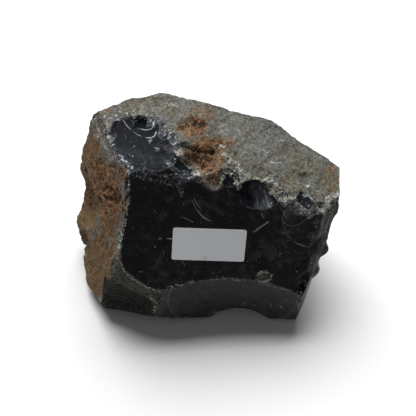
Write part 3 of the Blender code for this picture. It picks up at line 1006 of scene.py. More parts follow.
def tan_rind(points):
    """The rind turns from grey to tan towards the left end and down it."""
    ways = unit_rows(points)
    side = -ways[:, 0] - TAN_HEIGHT * np.maximum(ways[:, 2], 0.0)
    return TAN_STRENGTH * cut("tan", side + rolling(points, *TAN_CLOUD, SEEDS["tan"]))


def by_kind(kinds, table):
    """Each point's value from a table that names breaks, scars and chips."""
    values = np.zeros(len(NAMES))
    for name, value in table.items():
        values[NAMES.index(name)] = value
    return values[kinds]


def rind_margin(points):
    """How far each point lies inside the rind, in millimetres, below 0 on glass."""
    table = plain_reaches(unit_rows(points))
    return table[:, GLASS_BREAKS].min(axis=1) - table[:, RIND_BREAKS].min(axis=1)


def ridge_gap(points):
    """How far the second nearest break or scar lies behind the nearest, 0 on a ridge."""
    pair = np.partition(all_reaches(unit_rows(points)), 1, axis=1)[:, :2]
    return pair[:, 1] - pair[:, 0]


def ring_bands(points, fray):
    rings = np.linalg.norm(points - on_stone(*BAND_CENTRE), axis=1) / BAND_WIDTH * math.tau
    bands = np.sin(rings + fray) + rolling(points, *BAND_CLOUD, SEEDS["bands"])
    return np.clip(BAND_LEVEL + BAND_LEVEL * bands, 0.0, 1.0)


def store_mark(mesh, name, values):
    mark = mesh.attributes.new(name, "FLOAT", "POINT")
    mark.data.foreach_set("value", values.astype(np.float32))


def splinters(points, size, lean, where):
    """Small flat facets with steps between them, each leaning its own way."""
    noise.seed_set(SEEDS["splinters"])
    rises = np.zeros(len(points))
    for row in np.nonzero(where > LEAST_CRUSHED)[0]:
        place = Vector(points[row]) / size
        middle = noise.voronoi(place)[1][0]
        tilt = noise.noise_vector(middle * SPLINTER_MIX)
        rises[row] = (place - middle).dot(tilt) * lean + tilt.x * lean * SPLINTER_STEP
    return rises


def roughened(points, marks, gaps):
    """The rust's crumbly pits, the crushed glass's small flat splinters and the rind's grain."""
    crushed = np.maximum(marks["fringe"], marks["haze"] * HAZE_CRUSHED)
    crushed = np.maximum(marks["bruise"], crushed)
    facets = sum(splinters(points, size, lean, crushed) for size, lean in SPLINTERS)
    grain = rolling(points, *RIND_GRAIN, SEEDS["grain"]) * marks["rind"]
    rise = marks["rust"] * (RUST_RISE - GAP_DEPTH * gaps) + crushed * facets + grain
    return points + unit_rows(points) * rise[:, None]


def rust_gaps(points):
    """How far the rust is eaten away between its crumbs at each point."""
    layers = enumerate(CRUMBS, SEEDS["crumbs"])
    return sum(np.abs(rolling(points, size, height, seed)) for seed, (size, height) in layers)


def mark_stone(stone, kinds, ridges):
    mesh = stone.data
    points = mesh_points(mesh)
    pixels = pixels_of(mesh, points)
    spots = {name: spread(points, *row) for name, row in SPOT_MARKS.items()}
    lines = {name: along(points, pixels, *row) for name, row in LINE_MARKS.items()}
    fray = frayed_edge(points, CRUST_GRAIN, CRUST_FRAY, SEEDS["fray"])
    zones = {name: in_zone(pixels, corners, fray * ZONE_FRAY) for name, corners in ZONES.items()}
    bare = cut("bare", spots["bare"])
    for name in BARE_ZONES:
        bare = np.maximum(bare, zones[name])
    rust = spots["rust"] * (1 - bare)
    rind = np.maximum(IS_RIND[kinds] * (1 - bare), zones["tongue"])
    haze = np.maximum(by_kind(kinds, HAZED), zones["old_scar"])
    rim = beside(pixels, (*ZONES["old_scar"], ZONES["old_scar"][0]))
    crust = 1 - smooth_step(*CRUST_EDGE, np.abs(rind_margin(points) + fray))
    gaps = rust_gaps(points)
    # Painted shade: deep pits, hollows, crumb gaps and holes darken the colour through the pit mark.
    crumb_gap_shade = CRUMB_GAP_SHADE * cut("crumbly_rust", rust) * cut("gap", gaps)
    pits = np.maximum(cut("pit", pit_depths(points)), crumb_gap_shade)
    marks = {
        "rind": np.maximum(rind, cut("rusty_rind", rust)),
        "rust": rust,
        "tan": np.maximum(spots["tan"], tan_rind(points)) * (1 - spots["untanned"]),
        "olive": spots["olive"],
        "bruise": np.maximum(spots["bruise"], lines["crushed"]),
        "fringe": lines["fringe"],
        "smear_and_sheen": spots["smear_and_sheen"],
        "dirt": np.maximum(spots["dirt"], zones["bevel"]),
        "bands": zones["lower_left"] * IS_GLASS[kinds] * ring_bands(points, fray),
        "crust": crust * (1 - bare) * cut("off_scar", rim),
        "film": np.where(zones["lower_left"] > 0.5, FILM_ON_LOWER_LEFT, by_kind(kinds, FILM)),
        "pit": np.maximum(pits, spots["hole"]),
        "dusty": np.maximum(zones["lower_left"], zones["bevel"]),
        "haze": haze * (kinds != NAMES.index("front_glass")),
        "edge": np.where(ridges, 1.0, 0.0) * np.exp(-ridge_gap(points) / RIDGE_WIDTH),
    }
    put_points(mesh, roughened(points, marks, gaps))
    for name, values in marks.items():
        store_mark(mesh, name, values)


mark_stone(stone, stone_kinds, stone_ridges)


# The stone is black glass with a faint cool cast, under dust, dull film and bruises, and its rind
# is dull, with grey, olive, tan and rust colours. Its pits carry painted shade, and some of its
# fine lines and smears are painted highlights and sheen. Four materials cover it. They read the
# same marks and differ in how much they shine and in their fine lines.

GLASS_BLACK = (0.0024, 0.0025, 0.0035, 1.0)
FILM_BROWN = (0.031, 0.0295, 0.029, 1.0)
HAZE_BLUE = (0.002, 0.0034, 0.0065, 1.0)
HAZE_PALE = (0.032, 0.037, 0.046, 1.0)
BAND_OLIVE = (0.041, 0.037, 0.028, 1.0)
DIRT_DARK = (0.010, 0.0095, 0.008, 1.0)
DIRT_BROWN = (0.090, 0.081, 0.070, 1.0)
DUST = (0.103, 0.107, 0.114, 1.0)
SPECK_PALE = (0.30, 0.30, 0.29, 1.0)
RIND_GREY = (0.132, 0.138, 0.124, 1.0)
RIND_LIGHT = (0.27, 0.27, 0.245, 1.0)
RIND_DARK = (0.045, 0.041, 0.032, 1.0)
OLIVE_BROWN = (0.136, 0.126, 0.094, 1.0)
SPECK_BROWN = (0.145, 0.092, 0.048, 1.0)
RUST_ORANGE = (0.37, 0.150, 0.060, 1.0)
RUST_BROWN = (0.17, 0.100, 0.054, 1.0)
RUST_TAN = (0.27, 0.198, 0.122, 1.0)
RUST_DARK = (0.040, 0.022, 0.013, 1.0)
# Painted shade in pits, hollows, crumb gaps and holes.
PIT_SHADE = (0.012, 0.008, 0.006, 1.0)
TAN_BROWN = (0.175, 0.100, 0.045, 1.0)
TAN_PALE = (0.28, 0.20, 0.125, 1.0)
CRUST_PALE = (0.34, 0.33, 0.27, 1.0)
# White of bruised glass, also laid on as painted highlights and glints.
BRUISE_AND_GLEAM_WHITE = (0.55, 0.58, 0.62, 1.0)
BRUISE_BLUE = (0.040, 0.048, 0.060, 1.0)
BRUISE_RIND = (0.078, 0.073, 0.062, 1.0)
EDGE_WEAR = (0.09, 0.083, 0.07, 1.0)

# Clouds: spacing in millimetres, detail and roughness, then where the cut into patches begins and
# ends.
PATCHES = {
    "dust": (5.0, 6.0, 0.65, 0.40, 0.70),
    "grime": (4.0, 6.0, 0.7, 0.3, 0.7),
    "streak": (2.2, 6.0, 0.7, 0.40, 0.66),
    "flaw": (1.3, 4.0, 0.7, 0.60, 0.70),
    "speck": (12.0, 3.0, 0.6, 0.40, 0.62),
    "rind_light": (13.0, 3.0, 0.55, 0.40, 0.65),
    "stray_olive": (9.0, 4.0, 0.65, 0.48, 0.68),
    "hollow": (2.6, 4.0, 0.65, 0.44, 0.32),
    "sunk": (1.7, 3.0, 0.65, 0.43, 0.34),
    "raised": (1.7, 3.0, 0.65, 0.58, 0.67),
    "rust_tan": (1.5, 4.0, 0.7, 0.46, 0.64),
    "rust_dark": (1.4, 4.0, 0.7, 0.50, 0.41),
    "edge_wear": (3.0, 3.0, 0.5, 0.4, 0.6),
    "white_coarse": (1.7, 5.0, 0.7, 0.54, 0.64),
    "white_fine": (0.8, 3.0, 0.7, 0.62, 0.70),
    "crushed_dark": (1.1, 3.0, 0.7, 0.44, 0.36),
    "broken_line": (0.9, 3.0, 0.7, 0.25, 0.5),
}

# Grains: their spacing, then where the cut of their chance values begins and ends.
GRAINS = {
    "soil": (0.9, 0.0, 0.6),
    "soil_dust": (0.9, 0.94, 0.98),
    "dark": (0.85, 0.38, 0.05),
    "light": (0.85, 0.74, 0.98),
    "brown": (1.2, 0.80, 0.92),
    "orange": (0.8, 0.30, 0.62),
    "rust_pale": (0.9, 0.86, 0.95),
}

# Round specks: their spacing, radius and how many of the places have one.
FLECKS = {"large": (5.0, 0.75, 0.35), "middle": (2.6, 0.42, 0.38), "small": (1.5, 0.3, 0.35)}
FLECK_CORE = 0.4

# Ragged edges of marks: the spacing of the fray, how far it reaches, and where the cut begins and
# ends.
FRAYS = {
    "dirt": (2.0, 1.4, 0.3, 0.7),
    "olive": (3.0, 1.6, 0.1, 0.9),
    "tan": (2.6, 1.6, 0.15, 0.75),
    "rind": (1.1, 0.5, 0.4, 0.6),
    "rust": (1.6, 1.7, 0.28, 0.60),
    "crust": (1.6, 1.3, 0.6, 0.8),
    "fringe": (1.2, 2.2, 0.35, 0.6),
    "bruise": (1.3, 1.8, 0.35, 0.65),
}
FRAY_CLOUD = (4.0, 0.65)

# How strongly a colour lies over the one beneath it.
SHARES = {
    "dust": 0.38, "dirt": 0.9, "flaw": 0.35, "small_fleck": 0.6, "rind_light": 0.25,
    "stray_olive": 0.6, "light": 0.55, "hollow": 0.6, "raised": 0.38, "orange": 0.85,
    "rust_dark": 0.85, "rust_pale": 0.5, "crust": 0.45, "fringe": 0.75, "bruise": 0.65,
    "crushed_dark": 0.85, "film_grit": 0.25,
}

# From where to where a strength runs as what drives it goes from none to all.
SPANS = {
    "film": (0.1, 1.0),
    "streak": (0.12, 0.9),
    "bands": (0.4, 1.0),
    "speck": (0.15, 0.8),
    "smeared_speck": (0.3, 1.0),
    "dark": (0.55, 0.85),
    "brown": (0.1, 0.5),
    "sunk": (0.25, 0.6),
    "pit": (0.7, 1.1),
    "film_roughness": (0.10, 0.4),
    "grit": (0.015, 0.9),
}
SMEAR_GAIN = 0.78
SMEAR_LEAST = 0.22
RED_CLOUD = (4.2, 3.0, 0.6)
RED_CUT = (0.49, 0.60)
REDDENING = {"tan": 0.12, "olive": -0.10}
PIT_CLOUD = (1.5, 4.0)
ROUGHNESS = {"haze": 0.78, "dusty": 0.6, "rind": 0.85, "crushed": 0.38}
GRIT_CLOUDS = ((0.8, 4.0, 0.7), (2.4, 2.0))
GRIT_HEIGHT = 0.5
GLASS_IOR = 1.49
LINE_CORE = 0.3

# Fine lines on each kind of face: the pixels they pass through, half their width in millimetres
# and their strength. The arcs on the old scar, the gleams and glints, and the ripples, glow and
# streak in the notch are painted highlights and reflections.
LINES_ON_GLASS = {
    "long_thin": (((163, 249), (147, 286)), 0.3, 0.55),
    "long_thin_twin": (((165, 251), (152, 280)), 0.22, 0.25),
    "pale_dash": (((254, 232), (268, 222)), 0.45, 0.5),
    "pale_dash_twin": (((256, 229), (264, 224)), 0.3, 0.3),
    "upper_dash": (((177, 216), (185, 218), (193, 222)), 0.35, 0.35),
    "curve": (((192, 200), (196, 209), (203, 217), (211, 221)), 0.5, 0.42),
    "inner_curve": (((194, 198), (197, 204), (201, 209)), 0.35, 0.25),
    "ridge_streak": (((247, 188), (249, 196), (250, 206)), 0.35, 0.2),
    "ridge_streak_low": (((280, 207), (284, 213), (287, 221)), 0.3, 0.2),
    "blue_streak": (((228, 190), (230, 197), (229, 205)), 0.45, 0.14),
    "faint_arc": (((283, 222), (290, 226), (299, 225), (306, 219)), 0.3, 0.16),
    "cross_low": (((213, 268), (219, 266), (226, 269)), 0.3, 0.2),
    "cross_high": (((146, 204), (152, 207), (156, 213)), 0.3, 0.2),
    "lower_right_dash": (((296, 271), (303, 275)), 0.35, 0.7),
    "streak": (((172, 180), (179, 188), (182, 197)), 0.45, 0.22),
    "streak_mark": (((177, 184), (181, 183)), 0.4, 0.5),
    "label_left_dash": (((167, 238), (172, 239)), 0.45, 0.75),
    "label_foot_dash": (((181, 260), (185, 265)), 0.5, 0.35),
    "right_dash": (((261, 213), (264, 218)), 0.4, 0.3),
    "flake_rim": (((296, 243), (304, 246), (313, 248)), 0.35, 0.25),
    "left_dot": (((154, 246), (155, 247)), 0.4, 0.6),
    "lower_left_dot": (((159, 238), (161, 238)), 0.45, 0.75),
}
LINES_AND_GLEAMS_ON_DULL_GLASS = {
    "outer": (((123, 120), (127, 126), (132, 131), (138, 135), (145, 138)), 0.45, 0.50),
    "outer_end": (((145, 138), (151, 138), (155, 136), (156, 132)), 0.55, 0.62),
    "inner": (((134, 122), (137, 126), (141, 129), (146, 130), (151, 129), (154, 126)), 0.42, 0.45),
    "hook": (((149, 141), (152, 140), (150, 143)), 0.5, 0.5),
    "low_gleam": (((155, 148), (159, 149)), 0.5, 0.4),
    "left_gleam": (((123, 160), (127, 162)), 0.6, 0.7),
    "lobe_gleam": (((170, 166), (173, 170), (176, 174)), 0.6, 0.7),
    "lobe_gleam_high": (((175, 159), (180, 159)), 0.6, 0.7),
    "dash": (((242, 305), (246, 301)), 0.35, 0.35),
    "foot_fleck": (((205, 296), (208, 298)), 0.4, 0.25),
    "corner_fleck": (((299, 303), (298, 308)), 0.5, 0.5),
    "corner_fleck_low": (((281, 306), (282, 308)), 0.6, 0.3),
    "corner_fleck_high": (((286, 300), (288, 299)), 0.45, 0.25),
    "upright_fleck": (((271, 303), (271, 307)), 0.35, 0.25),
}
STREAKS_AND_GLEAMS_IN_NOTCHES = {
    "notch_ripple_left": (((259, 186), (262, 195), (264, 203)), 0.4, 0.35),
    "notch_ripple_middle": (((264, 190), (267, 199), (269, 206)), 0.45, 0.42),
    "notch_ripple_right": (((255, 190), (257, 199), (258, 207)), 0.35, 0.25),
    "notch_glow": (((254, 186), (258, 196), (261, 206)), 4.2, 0.055),
    "notch_glow_right": (((262, 182), (266, 196), (269, 206)), 3.2, 0.075),
    "notch_streak": (((261, 186), (265, 197), (266, 205)), 1.1, 0.10),
    "notch_gleam": (((267, 199), (269, 205)), 0.4, 0.6),
    "end_streak": (((335, 201), (330, 216), (325, 231)), 1.5, 0.16),
    "end_streak_left": (((328, 206), (323, 220), (319, 237)), 1.3, 0.14),
    "end_streak_low": (((323, 243), (318, 256), (313, 270)), 1.4, 0.13),
    "nick_gleam": (((223, 171), (228, 173)), 0.7, 0.9),
    "nick_gleam_low": (((230, 175), (234, 177)), 0.5, 0.7),
}
SCRATCHES_AND_GLINTS_ON_RIND = {
    "drawn_lines": (((271, 162), (276, 163), (282, 162)), 0.4, 0.8),
    "scratch_left": (((251, 153), (254, 156), (257, 158)), 0.45, 0.6),
    "arc_high": (((265, 125), (269, 128), (268, 132)), 0.7, 0.35),
    "arc_low": (((265, 134), (269, 137), (273, 135)), 0.6, 0.35),
    "fleck_left": (((237, 130), (240, 132)), 0.5, 0.6),
    "fleck_right": (((278, 141), (281, 140), (284, 141)), 0.5, 0.5),
    "fleck_middle": (((262, 149), (266, 152), (269, 153)), 0.45, 0.4),
    "fleck_near": (((219, 127), (222, 126), (226, 124)), 0.9, 0.3),
    "fleck_near_low": (((221, 130), (223, 131)), 0.7, 0.28),
    "step_gleam": (((219, 147), (221, 145), (223, 147), (227, 146)), 0.6, 0.7),
    "step_gleam_low": (((222, 155), (224, 153), (228, 155)), 0.6, 0.6),
    "pocket_gleam": (((303, 200), (307, 203), (310, 207)), 0.5, 0.5),
    "pocket_gleam_high": (((308, 196), (312, 199), (316, 203)), 0.5, 0.45),
    "right_streak": (((314, 168), (318, 165), (322, 166)), 0.7, 0.3),
    "left_streak": (((163, 106), (170, 104), (176, 107)), 1.0, 0.35),
    "top_streak": (((150, 100), (158, 97), (166, 98)), 1.2, 0.25),
}


class Shading:
    """Short calls for putting nodes together."""

    def __init__(self, tree):
        self.tree = tree
        self.shader = tree.nodes["Principled BSDF"]
        place = self.node("TexCoord").outputs["Object"]
        values = {0: place, "Scale": 1 / MM}
        self.place = self.node("VectorMath", values, operation="SCALE").outputs[0]

    def plug(self, value, socket):
        if hasattr(value, "is_output"):
            self.tree.links.new(value, socket)
        else:
            socket.default_value = value

    def node(self, kind, values=None, **settings):
        """A node with its settings made and its sockets filled or joined."""
        node = self.tree.nodes.new("ShaderNode" + kind)
        for name, value in settings.items():
            setattr(node, name, value)
        for socket, value in (values or {}).items():
            self.plug(value, node.inputs[socket])
        return node

    def mark(self, name):
        return self.node("Attribute", attribute_name=name).outputs["Fac"]

    def maths(self, operation, *values):
        return self.node("Math", dict(enumerate(values)), operation=operation).outputs[0]

    def times(self, first, second):
        return self.maths("MULTIPLY", first, second)

    def most(self, first, second):
        return self.maths("MAXIMUM", first, second)

    def vector(self, operation, *values):
        return self.node("VectorMath", dict(enumerate(values)), operation=operation)

    def ramp(self, low, high, value):
        values = {"From Min": low, "From Max": high, "Value": value}
        node = self.node("MapRange", values, interpolation_type="SMOOTHSTEP")
        return node.outputs["Result"]

    def mix(self, share, first, second):
        """One colour turning to another."""
        return self.node("Mix", {0: share, 6: first, 7: second}, data_type="RGBA").outputs[2]

    def blend(self, share, first, second):
        """One number turning to another."""
        return self.node("Mix", {0: share, 2: first, 3: second}).outputs[0]

    def cover(self, name, share, ground, colour):
        """The ground with a colour over it, as strongly as SHARES says."""
        return self.mix(self.times(share, SHARES[name]), ground, colour)

    def span(self, name, share):
        return self.blend(share, *SPANS[name])

    def cloud(self, spacing, detail=2.0, rough=0.5):
        values = {"Vector": self.place, "Scale": 1 / spacing, "Detail": detail, "Roughness": rough}
        return self.node("TexNoise", values).outputs["Fac"]

    def patch(self, name):
        """A cloud cut into patches."""
        spacing, detail, rough, low, high = PATCHES[name]
        return self.ramp(low, high, self.cloud(spacing, detail, rough))

    def frayed(self, name):
        """A mark cut to a ragged edge by a fine cloud."""
        spacing, fray, low, high = FRAYS[name]
        cloud = self.cloud(spacing, *FRAY_CLOUD)
        edge = self.maths("MULTIPLY_ADD", cloud, fray, -fray / 2)
        return self.ramp(low, high, self.maths("ADD", self.mark(name), edge))

    def cells(self, spacing):
        """A net of small cells: how far the middle of each point's cell is, and a chance value."""
        node = self.node("TexVoronoi", {"Vector": self.place, "Scale": 1 / spacing})
        lot = self.node("SeparateColor", {0: node.outputs["Color"]})
        return node.outputs["Distance"], lot.outputs[0]

    def grains(self, name):
        """Grains with crisp borders, some of them coloured."""
        spacing, low, high = GRAINS[name]
        return self.ramp(low, high, self.cells(spacing)[1])

    def flecks(self, name):
        """Round specks in some of the cells of a net."""
        spacing, radius, share = FLECKS[name]
        away, lot = self.cells(spacing)
        near = self.ramp(radius / spacing, radius / spacing * FLECK_CORE, away)
        return self.times(near, self.maths("LESS_THAN", lot, share))

    def line(self, start, end, width):
        """How near each point is to a straight line from start to end."""
        span = end - start
        offset = self.vector("SUBTRACT", self.place, tuple(start)).outputs[0]
        along = self.vector("DOT_PRODUCT", offset, tuple(span / (span @ span))).outputs["Value"]
        held = self.maths("MINIMUM", self.most(along, 0.0), 1.0)
        foot = self.node("VectorMath", {0: tuple(span), "Scale": held}, operation="SCALE")
        away = self.vector("DISTANCE", offset, foot.outputs[0]).outputs["Value"]
        return self.ramp(width, width * LINE_CORE, away)

    def finish(self, height, bump, **sockets):
        """Joins the bump, whose height is in millimetres, and fills the shader's other sockets."""
        bump = self.node("Bump", {"Height": height, "Distance": bump[0] * MM, "Strength": bump[1]})
        self.plug(bump.outputs["Normal"], self.shader.inputs["Normal"])
        for name, value in sockets.items():
            self.plug(value, self.shader.inputs[name.replace("_", " ")])


def fine_lines(shading, lines):
    total = 0.0
    for pixels, width, strength in lines.values():
        places = [on_stone(*pixel) + HEART for pixel in pixels]
        for start, end in zip(places[:-1], places[1:]):
            total = shading.most(total, shading.times(shading.line(start, end, width), strength))
    return shading.times(total, shading.patch("broken_line"))


def glass_colour(shading):
    """Black glass under dust, a film of grime, haze, bands, soil, small flaws and specks."""
    # Painted sheen: where the smears lie strong, dust and haze streaks lighten the glass.
    smear_and_sheen = shading.maths("MULTIPLY_ADD", shading.mark("smear_and_sheen"), SMEAR_GAIN, SMEAR_LEAST)
    dust = shading.times(shading.patch("dust"), smear_and_sheen)
    glass = shading.cover("dust", dust, GLASS_BLACK, DUST)
    grime = shading.patch("grime")
    film = shading.times(shading.mark("film"), shading.span("film", grime))
    glass = shading.mix(film, glass, FILM_BROWN)
    streak = shading.times(shading.patch("streak"), shading.span("streak", shading.mark("smear_and_sheen")))
    misty = shading.mix(streak, HAZE_BLUE, HAZE_PALE)
    glass = shading.mix(shading.mark("haze"), glass, misty)
    bands = shading.times(shading.mark("bands"), shading.span("bands", grime))
    glass = shading.mix(bands, glass, BAND_OLIVE)
    soil = shading.mix(shading.grains("soil"), DIRT_DARK, DIRT_BROWN)
    soil = shading.mix(shading.grains("soil_dust"), soil, DUST)
    glass = shading.cover("dirt", shading.frayed("dirt"), glass, soil)
    glass = shading.cover("flaw", shading.times(shading.patch("flaw"), smear_and_sheen), glass, DUST)
    speck = shading.most(shading.flecks("large"), shading.flecks("middle"))
    small = shading.times(shading.flecks("small"), SHARES["small_fleck"])
    speck = shading.times(shading.most(speck, small), shading.span("speck", shading.patch("speck")))
    speck = shading.times(speck, shading.span("smeared_speck", smear_and_sheen))
    return shading.mix(speck, glass, SPECK_PALE)


def rind_colour(shading):
    """Grey rind that turns olive and tan, with dark, light and brown grains and small hollows."""
    grey = shading.cover("rind_light", shading.patch("rind_light"), RIND_GREY, RIND_LIGHT)
    stray = shading.times(shading.patch("stray_olive"), SHARES["stray_olive"])
    olive = shading.most(shading.frayed("olive"), stray)
    grey = shading.mix(olive, grey, OLIVE_BROWN)
    tan = shading.frayed("tan")
    base = shading.mix(tan, grey, TAN_BROWN)
    pale = shading.mix(tan, RIND_LIGHT, TAN_PALE)
    worn = shading.most(olive, tan)
    dark = shading.times(shading.grains("dark"), shading.span("dark", worn))
    base = shading.mix(dark, base, RIND_DARK)
    base = shading.cover("light", shading.grains("light"), base, pale)
    brown = shading.times(shading.grains("brown"), shading.span("brown", worn))
    base = shading.mix(brown, base, SPECK_BROWN)
    hollow = shading.times(shading.patch("hollow"), worn)
    base = shading.cover("hollow", hollow, base, RIND_DARK)
    sunk = shading.times(shading.patch("sunk"), shading.span("sunk", worn))
    base = shading.mix(sunk, base, RIND_DARK)
    return shading.cover("raised", shading.patch("raised"), base, pale)


def rust_colour(shading):
    """Brown and tan rust with orange, dark and pale crumbs, redder at the left end."""
    rust = shading.mix(shading.patch("rust_tan"), RUST_BROWN, RUST_TAN)
    redder = shading.cloud(*RED_CLOUD)
    for name, gain in REDDENING.items():
        redder = shading.maths("MULTIPLY_ADD", shading.mark(name), gain, redder)
    orange = shading.times(shading.ramp(*RED_CUT, redder), shading.grains("orange"))
    rust = shading.cover("orange", orange, rust, RUST_ORANGE)
    rust = shading.cover("rust_dark", shading.patch("rust_dark"), rust, RUST_DARK)
    return shading.cover("rust_pale", shading.grains("rust_pale"), rust, TAN_PALE)


def stone_colour(shading, rind):
    """Glass and rind under rust, painted pit shade, the rind's crusty border and worn ridges."""
    colour = shading.mix(rind, glass_colour(shading), rind_colour(shading))
    colour = shading.mix(shading.frayed("rust"), colour, rust_colour(shading))
    pit = shading.times(shading.mark("pit"), shading.span("pit", shading.cloud(*PIT_CLOUD)))
    colour = shading.mix(pit, colour, PIT_SHADE)
    colour = shading.cover("crust", shading.frayed("crust"), colour, CRUST_PALE)
    wear = shading.times(shading.mark("edge"), shading.patch("edge_wear"))
    return shading.mix(wear, colour, EDGE_WEAR)


def crushed_colour(shading, rind, colour):
    """The colour with crusted and bruised places over it, and how crushed each point is. The
    white of these places is partly whitened glass and partly painted glints.
    """
    fringe = shading.frayed("fringe")
    colour = shading.cover("fringe", fringe, colour, CRUST_PALE)
    bruise = shading.frayed("bruise")
    colour = shading.cover("bruise", bruise, colour, shading.mix(rind, BRUISE_BLUE, BRUISE_RIND))
    crushed = shading.most(bruise, fringe)
    whitening_and_glints = shading.most(shading.patch("white_coarse"), shading.patch("white_fine"))
    colour = shading.mix(shading.times(crushed, whitening_and_glints), colour, BRUISE_AND_GLEAM_WHITE)
    dark = shading.times(crushed, shading.patch("crushed_dark"))
    return shading.cover("crushed_dark", dark, colour, GLASS_BLACK), crushed


def stone_material(name, shine, lines):
    material, tree = new_material(name)
    shading = Shading(tree)
    rind = shading.frayed("rind")
    colour, crushed = crushed_colour(shading, rind, stone_colour(shading, rind))
    # Painted highlights: the gleams, glints, scar arcs and notch ripples among the fine lines.
    drawn_lines = fine_lines(shading, lines)
    film = shading.mark("film")
    rough = shading.span("film_roughness", film)
    for mark in ("haze", "dusty"):
        rough = shading.blend(shading.mark(mark), rough, ROUGHNESS[mark])
    rough = shading.blend(rind, rough, ROUGHNESS["rind"])
    rough = shading.blend(shading.most(crushed, drawn_lines), rough, ROUGHNESS["crushed"])
    gritty = shading.most(shading.most(rind, crushed), shading.times(film, SHARES["film_grit"]))
    shading.finish(
        shading.maths("ADD", *(shading.cloud(*row) for row in GRIT_CLOUDS)),
        (GRIT_HEIGHT, shading.span("grit", gritty)),
        Base_Color=shading.mix(drawn_lines, colour, BRUISE_AND_GLEAM_WHITE),
        Roughness=rough,
        IOR=GLASS_IOR,
        Specular_IOR_Level=shine,
    )
    return material


# Edges between two glass breaks are drawn sharp when they turn more than faintly, and all others
# when they are steep.
FAINT_TURN = math.radians(7.0)
STEEP_TURN = math.radians(40.0)


def sharpen_ridges(mesh, kinds, ridges):
    shape = bmesh.new()
    shape.from_mesh(mesh)
    for edge in shape.edges:
        turn = edge.calc_face_angle(0.0) if len(edge.link_faces) == 2 else 0.0
        ends = [corner.index for corner in edge.verts]
        ridge = all(ridges[end] and not IS_RIND[kinds[end]] for end in ends)
        edge.smooth = not (turn > STEEP_TURN or (turn >= FAINT_TURN and ridge))
    shape.to_mesh(mesh)
    shape.free()


# Fresh glass shines; filmed glass and rind shine less, and dusty glass hardly at all.
STONE_MATERIALS = {
    "fresh_glass": (0.5, LINES_ON_GLASS),
    "dull_glass": (0.2, LINES_AND_GLEAMS_ON_DULL_GLASS),
    "rind": (0.08, SCRATCHES_AND_GLINTS_ON_RIND),
    "dusty_glass": (0.04, STREAKS_AND_GLEAMS_IN_NOTCHES),
}
DULL_FILM = 0.45
DUSTY = (
    "right_glass right_end right_knob right_foot lower_right_corner right_edge_chip knob_chip "
    "dark_pocket mirror_chip ridge_notch ridge_nick"
).split()


def face_corners(mesh):
    """The first corner point of each face."""
    first_loop = np.zeros(len(mesh.polygons), dtype=np.int64)
    mesh.polygons.foreach_get("loop_start", first_loop)
    corners = np.zeros(len(mesh.loops), dtype=np.int64)
    mesh.loops.foreach_get("vertex_index", corners)
    return corners[first_loop]


def cover_stone(mesh, kinds):
    """Each face gets the material of its break, scar or chip."""
    mesh.materials.clear()
    for name, (shine, lines) in STONE_MATERIALS.items():
        mesh.materials.append(stone_material(name, shine, lines))
    slot = {name: row for row, name in enumerate(STONE_MATERIALS)}
    dull = [name for name, share in FILM.items() if share > DULL_FILM] + list(HAZED)
    slots = np.full(len(NAMES), slot["fresh_glass"], dtype=np.int32)
    slots[[NAMES.index(name) for name in dull]] = slot["dull_glass"]
    slots[IS_RIND] = slot["rind"]
    slots[[NAMES.index(name) for name in DUSTY]] = slot["dusty_glass"]
    dusty = np.zeros(len(mesh.vertices))
    mesh.attributes["dusty"].data.foreach_get("value", dusty)
    corners = face_corners(mesh)
    chosen = slots[kinds[corners]]
    chosen[dusty[corners] > 0.5] = slot["dusty_glass"]
    mesh.polygons.foreach_set("material_index", chosen)


cover_stone(stone.data, stone_kinds)
stone.data.shade_smooth()
sharpen_ridges(stone.data, stone_kinds, stone_ridges)
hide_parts("stone")
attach(stone, "root")


# Loose grains of rust cling in the pits, and small splinters of crushed glass and rind stand along
# the ridges. Each kind is one small lump, set down many times on the stone's skin.

# How many stand on a square millimetre where the mark is full, and their least and largest radius
# in millimetres.
RUST_GRAINS = {"mark": "rust", "per_mm2": 0.8, "small": 0.2, "large": 0.55, "seed": 5}
RIDGE_SPLINTERS = {"mark": "fringe", "per_mm2": 1.6, "small": 0.16, "large": 0.6, "seed": 8}
CRUSHED_SPLINTERS = {"mark": "bruise", "per_mm2": 0.5, "small": 0.14, "large": 0.42, "seed": 9}
LEAST_MARK = 0.3
SCATTER_INPUTS = {"Density": "Float", "Small": "Float", "Large": "Float", "Seed": "Int"}


def add_input(tree, name, kind):
    socket = tree.interface.new_socket(name, in_out="INPUT", socket_type="NodeSocket" + kind)
    return socket.identifier


